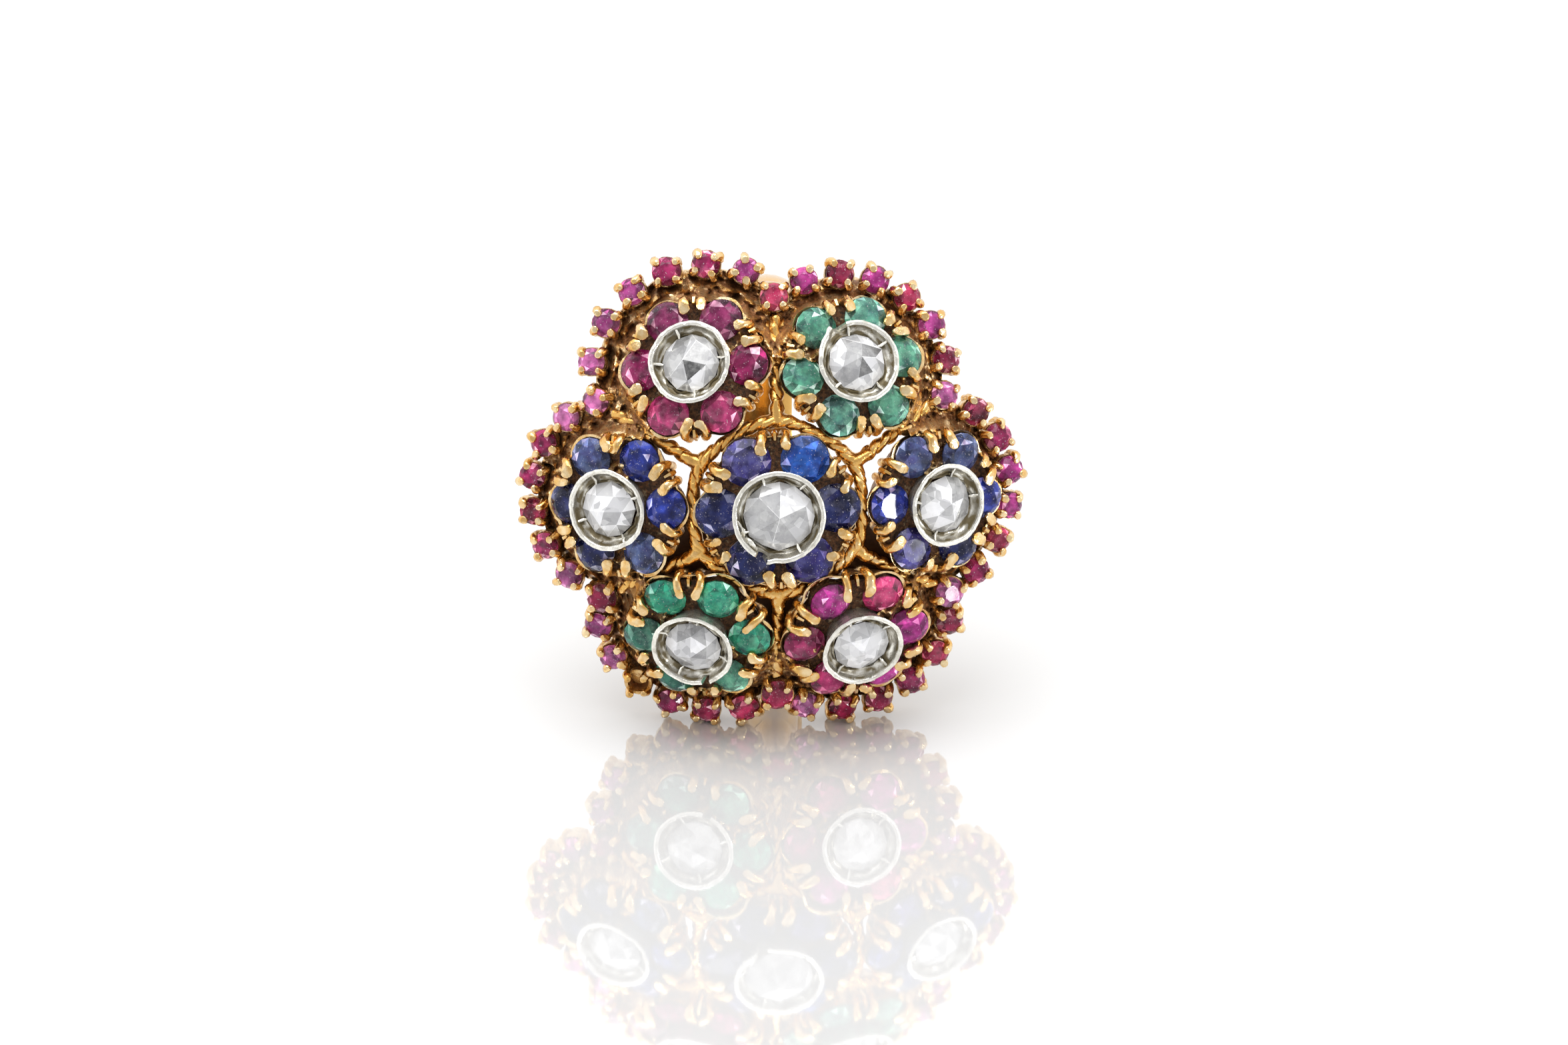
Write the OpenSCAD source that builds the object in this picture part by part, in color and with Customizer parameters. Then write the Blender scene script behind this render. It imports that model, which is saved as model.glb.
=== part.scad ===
// Flower cluster ring: seven stone flowers in a scalloped border of small
// four-claw settings, an openwork web between them, and a plain round shank.
// Millimetres, +Z up. The ring lies on the lower rim of its head and on the
// back of its shank, with the finger hole running along X and the head to -Y.

/* [Pose] */
// lean of the head away from upright, degrees
lean = 14; // [5:0.5:25]
// shift of the head's centre to bring the whole ring over the origin, along X
centre_x = 0.17; // [-3:0.01:3]
// the same along Y
centre_y = -12.16; // [-20:0.01:0]

/* [Shank] */
// inside diameter of the finger hole
finger_d = 18.0; // [14:0.1:23]
// angle left open in the band under the head, degrees
band_gap = 80; // [20:1:90]
// width of the band
band_w = 3.4; // [1.5:0.1:8]
// thickness of the band at its crown
band_t = 1.5; // [0.8:0.05:3]
// thickness of the band at its edges
band_edge = 0.8; // [0.4:0.05:2]
// width of the two shoulders between the band and the head
shoulder_w = 3.0; // [1.5:0.1:6]
// depth of the finger hole's centre behind the centre flower
hoop_depth = 16.8; // [12:0.1:22]

/* [Flowers] */
// diameter of a petal stone, outer flowers
petal_d = 2.42; // [1.5:0.01:4]
// diameter of a petal stone, centre flower
centre_petal_d = 2.80; // [1.5:0.01:4]
// outward tilt of the outer flowers, degrees
flower_tilt = 27; // [0:1:45]
// depth of the outer flowers below the centre one
flower_drop = 1.95; // [0:0.05:5]
// height of a basket below the petals
basket_h = 3.2; // [1.5:0.1:6]
// thickness of the sheet in a basket
basket_wall = 0.4; // [0.2:0.05:1]
// thickness of a flower's claws
claw_d = 0.56; // [0.3:0.01:1]

/* [Collets and diamonds] */
// outer diameter of a collet's rim, outer flowers
collet_d = 4.66; // [3:0.01:7]
// outer diameter of the centre collet's rim
centre_collet_d = 5.22; // [3:0.01:7]
// height of an outer collet's rim above the petals
collet_rise = 1.50; // [0.5:0.05:4]
// height of the centre collet's rim above the petals
centre_collet_rise = 1.90; // [0.5:0.05:4]
// diameter of an outer rose-cut diamond
diamond_d = 3.36; // [2:0.01:6]
// diameter of the centre rose-cut diamond
centre_diamond_d = 4.06; // [2:0.01:6]

/* [Border and web] */
// outward tilt of the border settings, degrees
border_tilt = 18; // [0:1:45]
// depth of a border stone below the centre flower, at the notch radius
border_drop = 3.75; // [1:0.05:8]
// how much deeper a border stone lies for each millimetre further out
border_slope = 0.8; // [0:0.05:1.5]
// height of a border setting below its stone
setting_h = 1.35; // [1:0.05:4]
// thickness of a border claw
border_claw_d = 0.44; // [0.2:0.01:0.8]
// thickness of the web's wires
web_d = 0.72; // [0.3:0.01:1.5]
// radius of the web's six-sided cell, to its corners
web_r = 4.75; // [3:0.05:7]
// depth of the cell below the centre flower's petals
web_drop = 1.4; // [0.5:0.05:4]
// depth of the base plate below the border stones
plate_drop = 1.15; // [0.5:0.05:3]
// radius of the opening in the base plate
plate_r = 8.8; // [6:0.05:11]
// thickness of the base plate
plate_t = 0.6; // [0.3:0.05:1.5]
// depth of the sheets behind the web's three lower openings
backing_drop = 3.4; // [2.5:0.05:4]
// thickness of these sheets
backing_t = 0.5; // [0.3:0.05:1]

/* [Hidden] */
gap = 0.03;                       // clearance between separate pieces
notch_r = 11.4;                   // nominal radius of the six notch settings
hoop_r = finger_d / 2;
head_height = hoop_depth * sin(lean) + hoop_r + band_t;
crown = band_t - band_edge;
dome_r = (band_w * band_w / 4 + crown * crown) / (2 * crown);
petal_crown = 0.36;
seat_top = 0.2;                   // height of a claw's notch above a stone's middle
border_crown = 0.30;
cone = 0.745;                     // taper of the baskets, radius for each millimetre of height

// azimuth, distance from the head's axis, radius of the petal ring, turn of the petals
flowers = [
    [  0, 9.0, 3.02, -2],
    [ 61, 8.9, 2.95, 11],
    [120, 9.1, 3.05,  2],
    [180, 9.0, 3.05,  2],
    [239, 8.9, 3.05,  4],
    [300, 8.9, 3.05,  3],
    [  0, 0.0, 3.27,  2]
];
CENTRE = 6;

// azimuth, distance of the lobe's centre, radius of its row of settings, step in degrees
lobes = [
    [  0, 7.3, 6.2, 19.2],
    [ 60, 7.1, 6.4, 18.6],
    [120, 7.2, 6.9, 19.0],
    [180, 7.8, 6.1, 19.5],
    [239, 7.1, 6.7, 18.5],
    [300, 7.3, 6.4, 19.3]
];

// azimuth, distance: the settings in the notches, each after its lobe
notches = [[31, 11.2], [90, 11.5], [151, 11.6], [210, 11.5], [270, 11.6], [330, 11.4]];

// stone diameter, turn of the claws, stone present: six settings for each lobe, anticlockwise,
// and then the notch after it
stones = [
    [[1.58, 75, 1], [1.52, 15, 1], [1.52, 40, 1], [1.64, 70, 1], [1.66, 75, 1], [1.60, 15, 1], [1.56, 30, 1]],
    [[1.56, 30, 1], [1.58, 45, 1], [1.56, 60, 1], [1.60, 20, 1], [1.62, 35, 1], [1.56, 60, 1], [1.60, 45, 1]],
    [[1.52,  5, 1], [1.60, 35, 1], [1.64, 48, 1], [1.56, 70, 1], [1.62, 30, 1], [1.56, 45, 1], [1.50, 20, 1]],
    [[1.60, 45, 1], [1.56, 65, 1], [1.52, 20, 1], [1.52, 40, 1], [1.56, 55, 1], [1.60, 30, 1], [1.72, 50, 1]],
    [[1.58, 30, 1], [1.52, 60, 1], [1.50, 45, 0], [1.60, 75, 1], [1.60, 40, 1], [1.76, 75, 1], [1.80, 40, 1]],
    [[1.60, 20, 1], [1.60, 30, 1], [1.62, 45, 1], [1.66, 60, 1], [1.60, 35, 1], [1.62, 50, 1], [1.78, 25, 1]]
];

function polar(r, a) = [r * cos(a), r * sin(a)];
function stone_drop(r) = border_drop + border_slope * (r - notch_r);
function plate_z(r) = -stone_drop(r) - plate_drop;
function row_xy(l, j) = polar(l[1], l[0]) + polar(l[2], l[0] + (j - 2.5) * l[3]);

// x, y, depth, azimuth, stone diameter, turn, stone present
function setting(xy, s) = concat(xy, [-stone_drop(norm(xy)), atan2(xy[1], xy[0])], s);
border = [
    for (i = [0:5])
        for (j = [0:6])
            setting(j < 6 ? row_xy(lobes[i], j) : polar(notches[i][1], notches[i][0]), stones[i][j])
];

// Places its children in the ring's lying pose
module lying() {
    translate([centre_x, centre_y, head_height]) rotate([90 - lean, 0, 0]) children();
}

// Tilts its children outward about an azimuth
module tilted(a, tilt) {
    rotate([0, 0, a]) rotate([0, tilt, 0]) rotate([0, 0, -a]) children();
}

// Places its children on a flower
module at_flower(i) {
    f = flowers[i];
    if (i == CENTRE) {
        children();
    } else {
        translate(concat(polar(f[1], f[0]), [-flower_drop])) tilted(f[0], flower_tilt) children();
    }
}

// Places its children on a border setting
module at_setting(s) {
    translate([s[0], s[1], s[2]]) tilted(s[3], border_tilt) children();
}

// A straight rod between two points
module rod(p, q, d) {
    v = q - p;
    translate(p) rotate([0, acos(v[2] / norm(v)), atan2(v[1], v[0])]) cylinder(d = d, h = norm(v), $fn = 6);
}

function petal(i) = i == CENTRE ? centre_petal_d : petal_d;
function basket_r(i) = flowers[i][2] + petal(i) / 2 - 0.04;

// The notch that a stone's edge takes in its claws
module seat(d) {
    translate([0, 0, -0.3]) cylinder(d = d + 2 * gap, h = 0.3 + seat_top, $fn = 24);
}

// A flower's basket of sheet metal with a floor, and six pairs of claws
module basket(i) {
    top = -0.38;
    floor = -1.3;
    r = basket_r(i);
    f = flowers[i];
    foot = r - cone * (basket_h + top);
    difference() {
        translate([0, 0, -basket_h]) cylinder(r1 = foot, r2 = r, h = basket_h + top, $fn = 48);
        translate([0, 0, floor])
            cylinder(r1 = r - cone * (top - floor) - basket_wall, r2 = r - basket_wall, h = top - floor, $fn = 48);
        translate([0, 0, top]) cylinder(r = r - basket_wall, h = 1, $fn = 48);
        translate([0, 0, -basket_h - 1]) cylinder(r = foot - basket_wall, h = 1 + basket_h + floor - 0.4, $fn = 36);
        translate([0, 0, -basket_h - 1]) cylinder(r = 0.8, h = basket_h + 1, $fn = 24);
    }
    difference() {
        for (k = [0:5], side = [-1, 1]) {
            a = 60 * k + 30 + f[3];
            rod(concat(polar(r - 0.25, a + 7.5 * side), [-1.05]),
                concat(polar(r - 0.58, a + 10 * side), [0.6]), claw_d);
        }
        for (k = [0:5]) translate(concat(polar(f[2], 60 * k + f[3]), [0])) seat(petal(i));
    }
}

// One border setting: a cup and four upright claws
module border_setting(s) {
    r = s[4] / 2;
    difference() {
        translate([0, 0, -setting_h]) cylinder(r = r + 0.06, h = setting_h - 0.22, $fn = 24);
        translate([0, 0, -0.95]) cylinder(r = r - 0.22, h = 1, $fn = 20);
    }
    difference() {
        for (k = [0:3])
            translate(concat(polar(r + 0.04, s[5] + 90 * k), [-0.65])) cylinder(d = border_claw_d, h = 1.07, $fn = 6);
        seat(s[4]);
    }
}

// The plate that carries the border, on its dome, and the sheets that back the web's lower openings,
// all cut open inside the baskets
module base_plate() {
    out_r = 15;
    wall = basket_wall / 2;
    // inner and outer radius of the backing sheets, and the azimuths of their two ends
    backing = [4.4, 9.3, 192, 348];
    difference() {
        union() {
            rotate([0, 0, backing[2]]) rotate_extrude(angle = backing[3] - backing[2], $fn = 96)
                translate([backing[0], -backing_drop - backing_t]) square([backing[1] - backing[0], backing_t]);
            intersection() {
                rotate_extrude($fn = 96) polygon([
                    [plate_r, plate_z(plate_r)], [out_r, plate_z(out_r)],
                    [out_r, plate_z(out_r) - plate_t], [plate_r, plate_z(plate_r) - plate_t]
                ]);
                union() {
                    translate([0, 0, -20]) cylinder(r = notch_r + 0.2, h = 20, $fn = 96);
                    for (l = lobes)
                        translate(concat(polar(l[1], l[0]), [-20])) cylinder(r = l[2] + 0.3, h = 20, $fn = 96);
                }
            }
        }
        for (i = [0:5]) at_flower(i)
            translate([0, 0, -basket_h - 1])
                cylinder(r1 = basket_r(i) - cone * (basket_h + 0.62) - wall, r2 = basket_r(i) + 0.38 * cone - wall,
                    h = basket_h + 1, $fn = 48);
    }
}

// The web: a six-sided cell round the centre flower and six spokes to the notches
module web() {
    end_r = 10.3;
    for (i = [0:5]) {
        p = concat(polar(web_r, 60 * i + 30), [-web_drop]);
        q = concat(polar(web_r, 60 * i + 90), [-web_drop]);
        e = concat(polar(end_r, notches[i][0]), [plate_z(end_r) + 0.25]);
        rod(p, q, web_d);
        rod(p, e, web_d);
        translate([p[0], p[1], -web_drop - web_d / 2]) cylinder(d = web_d * 1.25, h = web_d, $fn = 24);
    }
}

// The round band, open under the head, with shoulders that rise to the base plate
module shank() {
    // across the head, height: the outline of a shoulder
    shoulder = [[8.9, -3.4], [10.8, -4.7], [10.42, -15.6], [8.6, -12.6], [6.1, -10.6], [5.95, -9.55]];
    translate([0, 0, -hoop_depth]) rotate([0, 90, 0]) rotate([0, 0, 180 + band_gap / 2])
        rotate_extrude(angle = 360 - band_gap, $fn = 120) intersection() {
            translate([hoop_r, -band_w / 2]) square([band_t, band_w]);
            translate([hoop_r + band_t - dome_r, 0]) circle(r = dome_r, $fn = 96);
        }
    difference() {
        for (side = [-1, 1])
            rotate([90, 0, 90]) translate([0, 0, -shoulder_w / 2])
                linear_extrude(shoulder_w) polygon([for (p = shoulder) [side * p[0], p[1]]]);
        translate([0, 0, -hoop_depth]) rotate([0, 90, 0]) cylinder(r = hoop_r, h = 10, center = true, $fn = 120);
    }
}

module gold_frame() {
    color([0.83, 0.58, 0.22]) lying() {
        for (i = [0:6]) at_flower(i) basket(i);
        for (s = border) at_setting(s) border_setting(s);
        base_plate();
        web();
        shank();
    }
}

// A round cut stone: a table, a crown of facets, a thin girdle and a pavilion
module round_stone(d, sides, crown_h, pavilion_h, turn = 0) {
    r = d / 2;
    g = 0.02 * d;
    rings = [[0.58 * r, g + crown_h], [r, g], [r, -g]];
    n = sides;
    points = concat(
        [for (k = rings) for (i = [0:n - 1]) concat(polar(k[0], turn + 360 * i / n), [k[1]])],
        [[0, 0, -g - pavilion_h]]);
    faces = concat(
        [[for (i = [n - 1:-1:0]) i]],
        [for (k = [0:1]) for (i = [0:n - 1]) [k * n + i, k * n + (i + 1) % n, (k + 1) * n + (i + 1) % n, (k + 1) * n + i]],
        [for (i = [0:n - 1]) [2 * n + i, 2 * n + (i + 1) % n, 3 * n]]);
    polyhedron(points = points, faces = faces, convexity = 2);
}

// The six petals of a flower
module petals(i, c) {
    f = flowers[i];
    color(c) lying() at_flower(i)
        for (k = [0:5])
            translate(concat(polar(f[2], 60 * k + f[3]), [0]))
                round_stone(petal(i), 12, petal_crown, 0.3 * petal(i), 60 * k + f[3]);
}

// A collet: a tapering white metal cup with a ledge for its diamond
module collet(i) {
    big = i == CENTRE;
    rim = (big ? centre_collet_d : collet_d) / 2;
    rise = big ? centre_collet_rise : collet_rise;
    waist = flowers[i][2] - petal(i) / 2 - 0.06;
    seat = (big ? centre_diamond_d : diamond_d) / 2 - 0.3;
    base = -1.3 + gap;
    color([0.80, 0.80, 0.77]) lying() at_flower(i)
        rotate_extrude($fn = 64)
            polygon([
                [waist - 0.15, base], [waist, 0.12], [rim, rise], [rim - 0.16, rise],
                [seat + 0.58, rise - 0.72], [seat, rise - 0.72], [seat, rise - 1.0],
                [waist - 0.55, -0.1], [waist - 0.55, base]
            ]);
}

// A rose-cut diamond: a flat base, twelve lower facets, six upper ones and a small table
module rose_diamond(i) {
    big = i == CENTRE;
    r = (big ? centre_diamond_d : diamond_d) / 2;
    base = (big ? centre_collet_rise : collet_rise) - 0.72 + gap;
    // radius as a share of the stone's, height, turn
    rings = [[1, 0, 0], [1, 0.16, 0], [0.62, 0.72, 30], [0.15, 1.04, 0]];
    n = 6;
    function at(k, j, m) = concat(polar(rings[k][0] * r, 360 * j / m + rings[k][2]), [base + rings[k][1] * r / 1.68]);
    points = concat(
        [for (k = [0, 1]) for (j = [0:2 * n - 1]) at(k, j, 2 * n)],
        [for (k = [2, 3]) for (j = [0:n - 1]) at(k, j, n)]);
    top = 4 * n;
    faces = concat(
        [[for (j = [0:2 * n - 1]) j]],
        [for (j = [0:2 * n - 1]) [j, 2 * n + j, 2 * n + (j + 1) % (2 * n), (j + 1) % (2 * n)]],
        [for (j = [0:n - 1]) [2 * n + 2 * j, top + j, 2 * n + 2 * j + 1]],
        [for (j = [0:n - 1]) [2 * n + 2 * j + 1, top + j, 2 * n + (2 * j + 2) % (2 * n)]],
        [for (j = [0:n - 1]) [2 * n + (2 * j + 2) % (2 * n), top + j, top + (j + 1) % n]],
        [for (j = [0:n - 1]) [top + j, top + n + (j + 1) % n, top + (j + 1) % n]],
        [for (j = [0:n - 1]) [top + j, top + n + j, top + n + (j + 1) % n]],
        [[for (j = [n - 1:-1:0]) top + n + j]]);
    color([0.93, 0.94, 0.96]) lying() at_flower(i) rotate([0, 0, 15 * i])
        polyhedron(points = points, faces = faces, convexity = 2);
}

// The rubies of the border, one setting being empty
module border_rubies() {
    color([0.66, 0.08, 0.26]) lying()
        for (s = border) if (s[6]) at_setting(s) round_stone(s[4], 8, border_crown, 0.3 * s[4], s[5]);
}

ruby = [0.70, 0.08, 0.30];
emerald = [0.10, 0.50, 0.36];
sapphire = [0.10, 0.14, 0.46];

gold_frame();
border_rubies();
petals(0, sapphire);  // petals_right
petals(1, emerald);  // petals_upper_right
petals(2, ruby);  // petals_upper_left
petals(3, sapphire);  // petals_left
petals(4, emerald);  // petals_lower_left
petals(5, ruby);  // petals_lower_right
petals(6, sapphire);  // petals_centre
collet(0);  // collet_right
collet(1);  // collet_upper_right
collet(2);  // collet_upper_left
collet(3);  // collet_left
collet(4);  // collet_lower_left
collet(5);  // collet_lower_right
collet(6);  // collet_centre
rose_diamond(0);  // diamond_right
rose_diamond(1);  // diamond_upper_right
rose_diamond(2);  // diamond_upper_left
rose_diamond(3);  // diamond_left
rose_diamond(4);  // diamond_lower_left
rose_diamond(5);  // diamond_lower_right
rose_diamond(6);  // diamond_centre
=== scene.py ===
# Flower cluster ring: the detailed pieces and their finishes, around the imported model
import math
import random

import bmesh
import bpy
from mathutils import Matrix, Quaternion, Vector, noise


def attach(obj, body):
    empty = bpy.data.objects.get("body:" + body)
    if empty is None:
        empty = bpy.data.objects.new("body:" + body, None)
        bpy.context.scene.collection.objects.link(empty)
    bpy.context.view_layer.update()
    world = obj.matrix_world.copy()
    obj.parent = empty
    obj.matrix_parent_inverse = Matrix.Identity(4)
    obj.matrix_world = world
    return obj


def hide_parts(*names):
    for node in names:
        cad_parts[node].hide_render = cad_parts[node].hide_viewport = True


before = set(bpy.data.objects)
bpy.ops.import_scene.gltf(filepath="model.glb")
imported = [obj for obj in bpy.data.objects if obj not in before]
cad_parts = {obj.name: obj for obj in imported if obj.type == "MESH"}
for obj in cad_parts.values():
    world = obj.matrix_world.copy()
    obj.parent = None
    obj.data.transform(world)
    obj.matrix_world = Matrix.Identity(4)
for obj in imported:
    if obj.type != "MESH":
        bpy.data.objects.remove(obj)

bl_info = {
    "name": "Flower cluster ring",
    "version": (1, 0, 0),
    "blender": (4, 5, 0),
    "location": "View3D > Sidebar > Ring",
    "description": "Builds the stones, claws, collets, wires and band of a flower cluster ring",
    "category": "Object",
}

MM = 0.001
UP = Vector((0, 0, 1))
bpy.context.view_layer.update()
FLOWER_NAMES = ["right", "upper_right", "upper_left", "left", "lower_left", "lower_right", "centre"]
FLOWER_KINDS = ["sapphire", "emerald", "ruby", "sapphire", "emerald", "ruby", "sapphire"]
CENTRE = 6

# the setting, and the petal of a flower, whose tables mirror the side light
BRIGHT_SETTING = 41
BRIGHT_PETAL = (0, 3)

# azimuth, distance from the head's axis, radius of the petal ring, turn of the petals
FLOWERS = [
    (0, 9.0, 3.02, -2),
    (61, 8.9, 2.95, 11),
    (120, 9.1, 3.05, 2),
    (180, 9.0, 3.05, 2),
    (239, 8.9, 3.05, 4),
    (300, 8.9, 3.05, 3),
    (0, 0.0, 3.27, 2),
]

# azimuth, distance of the lobe's centre, radius of its row of settings, step in degrees
LOBES = [
    (0, 7.3, 6.2, 19.2),
    (60, 7.1, 6.4, 18.6),
    (120, 7.2, 6.9, 19.0),
    (180, 7.8, 6.1, 19.5),
    (239, 7.1, 6.7, 18.5),
    (300, 7.3, 6.4, 19.3),
]
ROW_SETTINGS = 6

# azimuth, distance: the settings in the notches, each after its lobe
NOTCHES = [(31, 11.2), (90, 11.5), (151, 11.6), (210, 11.5), (270, 11.6), (330, 11.4)]

# the border: depth below the centre flower, the distance where it has that depth, slope and tilt
BORDER_DROP = 3.75
BORDER_DISTANCE = 11.4
BORDER_SLOPE = 0.8
BORDER_TILT = 18

# depth of the base plate below the border stones
PLATE_DROP = 1.15

# a flower's basket: depth of its foot, height of its wall, how far its foot is pulled in, curve of its wall
BASKET_DEPTH = 3.2
BASKET_HEIGHT = 3.04
BASKET_PULL = 0.745 * 2.8
BASKET_CURVE = 0.8

# a collet's seat: its depth below the rim, and the gap under the diamond
SEAT_DROP = 0.72
SEAT_GAP = 0.03

# the shoulders: depth below the centre flower, distance of the inner and outer side, half width
SHOULDER = [
    (3.4, 9.0, 10.0, 1.0),
    (4.6, 8.4, 10.7, 1.15),
    (6.5, 7.5, 10.75, 1.25),
    (8.4, 6.5, 10.7, 1.35),
    (9.6, 5.75, 10.65, 1.4),
    (10.6, 6.35, 10.6, 1.45),
    (12.0, 7.55, 10.6, 1.5),
    (13.6, 8.3, 10.5, 1.5),
    (15.6, 8.9, 10.45, 1.4),
]

# stone diameter, turn of the claws, stone present, tone of the stone
STONES = [
    [(1.58, 75, 1, "raspberry"), (1.52, 15, 1, "red"), (1.52, 40, 1, "magenta"), (1.64, 70, 1, "magenta"),
     (1.66, 75, 1, "raspberry"), (1.60, 15, 1, "dark"), (1.56, 30, 1, "pink")],
    [(1.56, 30, 1, "dark"), (1.58, 45, 1, "purple"), (1.56, 60, 1, "crimson"), (1.60, 20, 1, "magenta"),
     (1.62, 35, 1, "dark"), (1.56, 60, 1, "magenta"), (1.60, 45, 1, "red")],
    [(1.52, 5, 1, "purple"), (1.60, 35, 1, "raspberry"), (1.64, 48, 1, "raspberry"),
     (1.56, 70, 1, "purple"),
     (1.62, 30, 1, "purple"), (1.56, 45, 1, "pink"), (1.50, 20, 1, "pink")],
    [(1.60, 45, 1, "pink"), (1.56, 65, 1, "raspberry"), (1.52, 20, 1, "raspberry"),
     (1.52, 40, 1, "crimson"),
     (1.56, 55, 1, "raspberry"), (1.60, 30, 1, "pink"), (1.72, 50, 1, "dark")],
    [(1.58, 30, 1, "purple"), (1.52, 60, 1, "pink"), (1.50, 45, 0, "red"), (1.60, 75, 1, "raspberry"),
     (1.60, 40, 1, "dark"), (1.76, 75, 1, "red"), (1.80, 40, 1, "red")],
    [(1.60, 20, 1, "pink"), (1.60, 30, 1, "crimson"), (1.62, 45, 1, "dark"), (1.66, 60, 1, "raspberry"),
     (1.60, 35, 1, "red"), (1.62, 50, 1, "dark"), (1.78, 25, 1, "pink")],
]

# the way, in the head's frame, of a facet that mirrors the side light into the camera
GLINT = (0.455, 0.03, 0.89)

# linear colours of the stones
TONES = {
    "red": (0.54, 0.04, 0.12),
    "dark": (0.28, 0.02, 0.065),
    "crimson": (0.38, 0.012, 0.07),
    "raspberry": (0.38, 0.03, 0.125),
    "magenta": (0.44, 0.05, 0.25),
    "pink": (0.60, 0.17, 0.41),
    "purple": (0.42, 0.065, 0.26),
    "ruby": (0.27, 0.015, 0.095),
    "wine": (0.23, 0.032, 0.105),
    "hot_pink": (0.50, 0.055, 0.18),
    "hot_red": (0.58, 0.045, 0.17),
    "violet_pink": (0.50, 0.045, 0.30),
    "emerald": (0.09, 0.34, 0.22),
    "light_green": (0.12, 0.39, 0.28),
    "deep_green": (0.05, 0.22, 0.15),
    "bright_green": (0.035, 0.38, 0.22),
    "navy": (0.014, 0.021, 0.10),
    "grey_blue": (0.080, 0.118, 0.27),
    "violet_blue": (0.055, 0.052, 0.23),
    "royal": (0.02, 0.04, 0.28),
    "bright_blue": (0.02, 0.10, 0.42),
}

# the six petals of each flower, anticlockwise from the right
PETAL_TONES = [
    ["royal", "grey_blue", "grey_blue", "royal", "violet_blue", "navy"],
    ["emerald", "light_green", "emerald", "emerald", "light_green", "emerald"],
    ["ruby", "wine", "wine", "ruby", "hot_pink", "hot_pink"],
    ["royal", "royal", "grey_blue", "navy", "navy", "grey_blue"],
    ["bright_green", "bright_green", "bright_green", "deep_green", "deep_green", "emerald"],
    ["violet_pink", "hot_red", "violet_pink", "raspberry", "raspberry", "violet_pink"],
    ["navy", "bright_blue", "violet_blue", "navy", "navy", "violet_blue"],
]

# the points of each rose-cut diamond above its lower row: azimuth, share of the radius, share of the height
ROSE_POINTS = [
    [(20, 0.60, 0.62), (80, 0.55, 0.66), (150, 0.62, 0.60), (215, 0.52, 0.66), (290, 0.60, 0.64),
     (100, 0.12, 1.0)],
    [(10, 0.58, 0.64), (75, 0.62, 0.60), (135, 0.56, 0.66), (200, 0.60, 0.62), (265, 0.58, 0.62),
     (320, 0.60, 0.60), (60, 0.10, 1.0)],
    [(348, 0.60, 0.66), (267, 0.66, 0.62), (75, 0.78, 0.46), (150, 0.76, 0.48), (215, 0.80, 0.42),
     (30, 0.80, 0.45),
     (173, 0.17, 1.0)],
    [(0, 0.60, 0.62), (60, 0.58, 0.62), (125, 0.60, 0.64), (185, 0.62, 0.60), (250, 0.58, 0.64),
     (310, 0.60, 0.62), (0, 0.04, 1.0)],
    [(25, 0.58, 0.62), (90, 0.60, 0.64), (150, 0.58, 0.60), (205, 0.60, 0.64), (275, 0.60, 0.62),
     (330, 0.56, 0.62), (270, 0.10, 1.0)],
    [(15, 0.60, 0.60), (70, 0.56, 0.66), (140, 0.60, 0.62), (210, 0.58, 0.64), (260, 0.60, 0.62),
     (325, 0.60, 0.62), (150, 0.08, 1.0)],
    [(22, 0.80, 0.50), (86, 0.74, 0.54), (134, 0.78, 0.50), (256, 0.72, 0.56), (60, 0.03, 1.0)],
]

# painted brightness of the facets that the light picks out in each diamond: azimuth, share of the radius,
# brightness
ROSE_SHADES = [
    [(120, 0.4, 1.0), (200, 0.6, 1.0), (50, 0.45, 0.26), (-15, 0.6, 0.28), (-60, 0.45, 0.5),
     (90, 0.5, 0.9), (240, 0.5, 0.9)],
    [(150, 0.45, 0.45), (40, 0.4, 0.16), (-40, 0.5, 0.06), (200, 0.5, 0.90), (100, 0.5, 0.30),
     (250, 0.5, 0.34)],
    [(-64, 0.28, 0.01), (47, 0.31, 0.08), (118, 0.45, 0.27), (182, 0.50, 0.36), (232, 0.47, 0.46),
     (-52, 0.62, 1.0)],
    [(100, 0.4, 0.95), (180, 0.3, 0.9), (-60, 0.3, 0.42), (20, 0.5, 0.6)],
    [(-60, 0.4, 0.56), (-120, 0.4, 0.60), (80, 0.5, 0.95), (20, 0.55, 0.45), (150, 0.5, 0.80)],
    [(10, 0.3, 0.70), (90, 0.4, 0.98), (190, 0.5, 0.80), (-60, 0.5, 0.95), (140, 0.5, 0.62)],
    [(51, 0.45, 0.88), (110, 0.47, 0.42), (195, 0.25, 0.26), (320, 0.25, 0.33), (225, 0.60, 0.30),
     (165, 0.65, 0.36),
     (285, 0.60, 0.34), (350, 0.60, 0.42)],
]

# radius of the diamond that the heights of the rose cut are given for
ROSE_RADIUS = 1.68

# damage of the collet rims: flower, azimuth, half width in degrees, depth lost and outward bend in mm
RIM_DAMAGE = [
    (1, 116, 8, 1.275, 0.24),
    (6, 247, 5.5, 1.725, 0.16),
    (4, -72, 4, 1.2, 0.05),
]

# the torn edge inside a collet: its flower, its first and last azimuth, and along it the distance outside
# the seat, the depth below the rim and the thickness
TORN_FLOWER = 6
TORN_SPAN = (186, 238)
TORN_EDGE = [
    (0.30, 0.34, 0.05),
    (0.12, 0.18, 0.16),
    (0.34, 0.42, 0.11),
    (0.16, 0.22, 0.17),
    (0.26, 0.36, 0.06),
]
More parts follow.
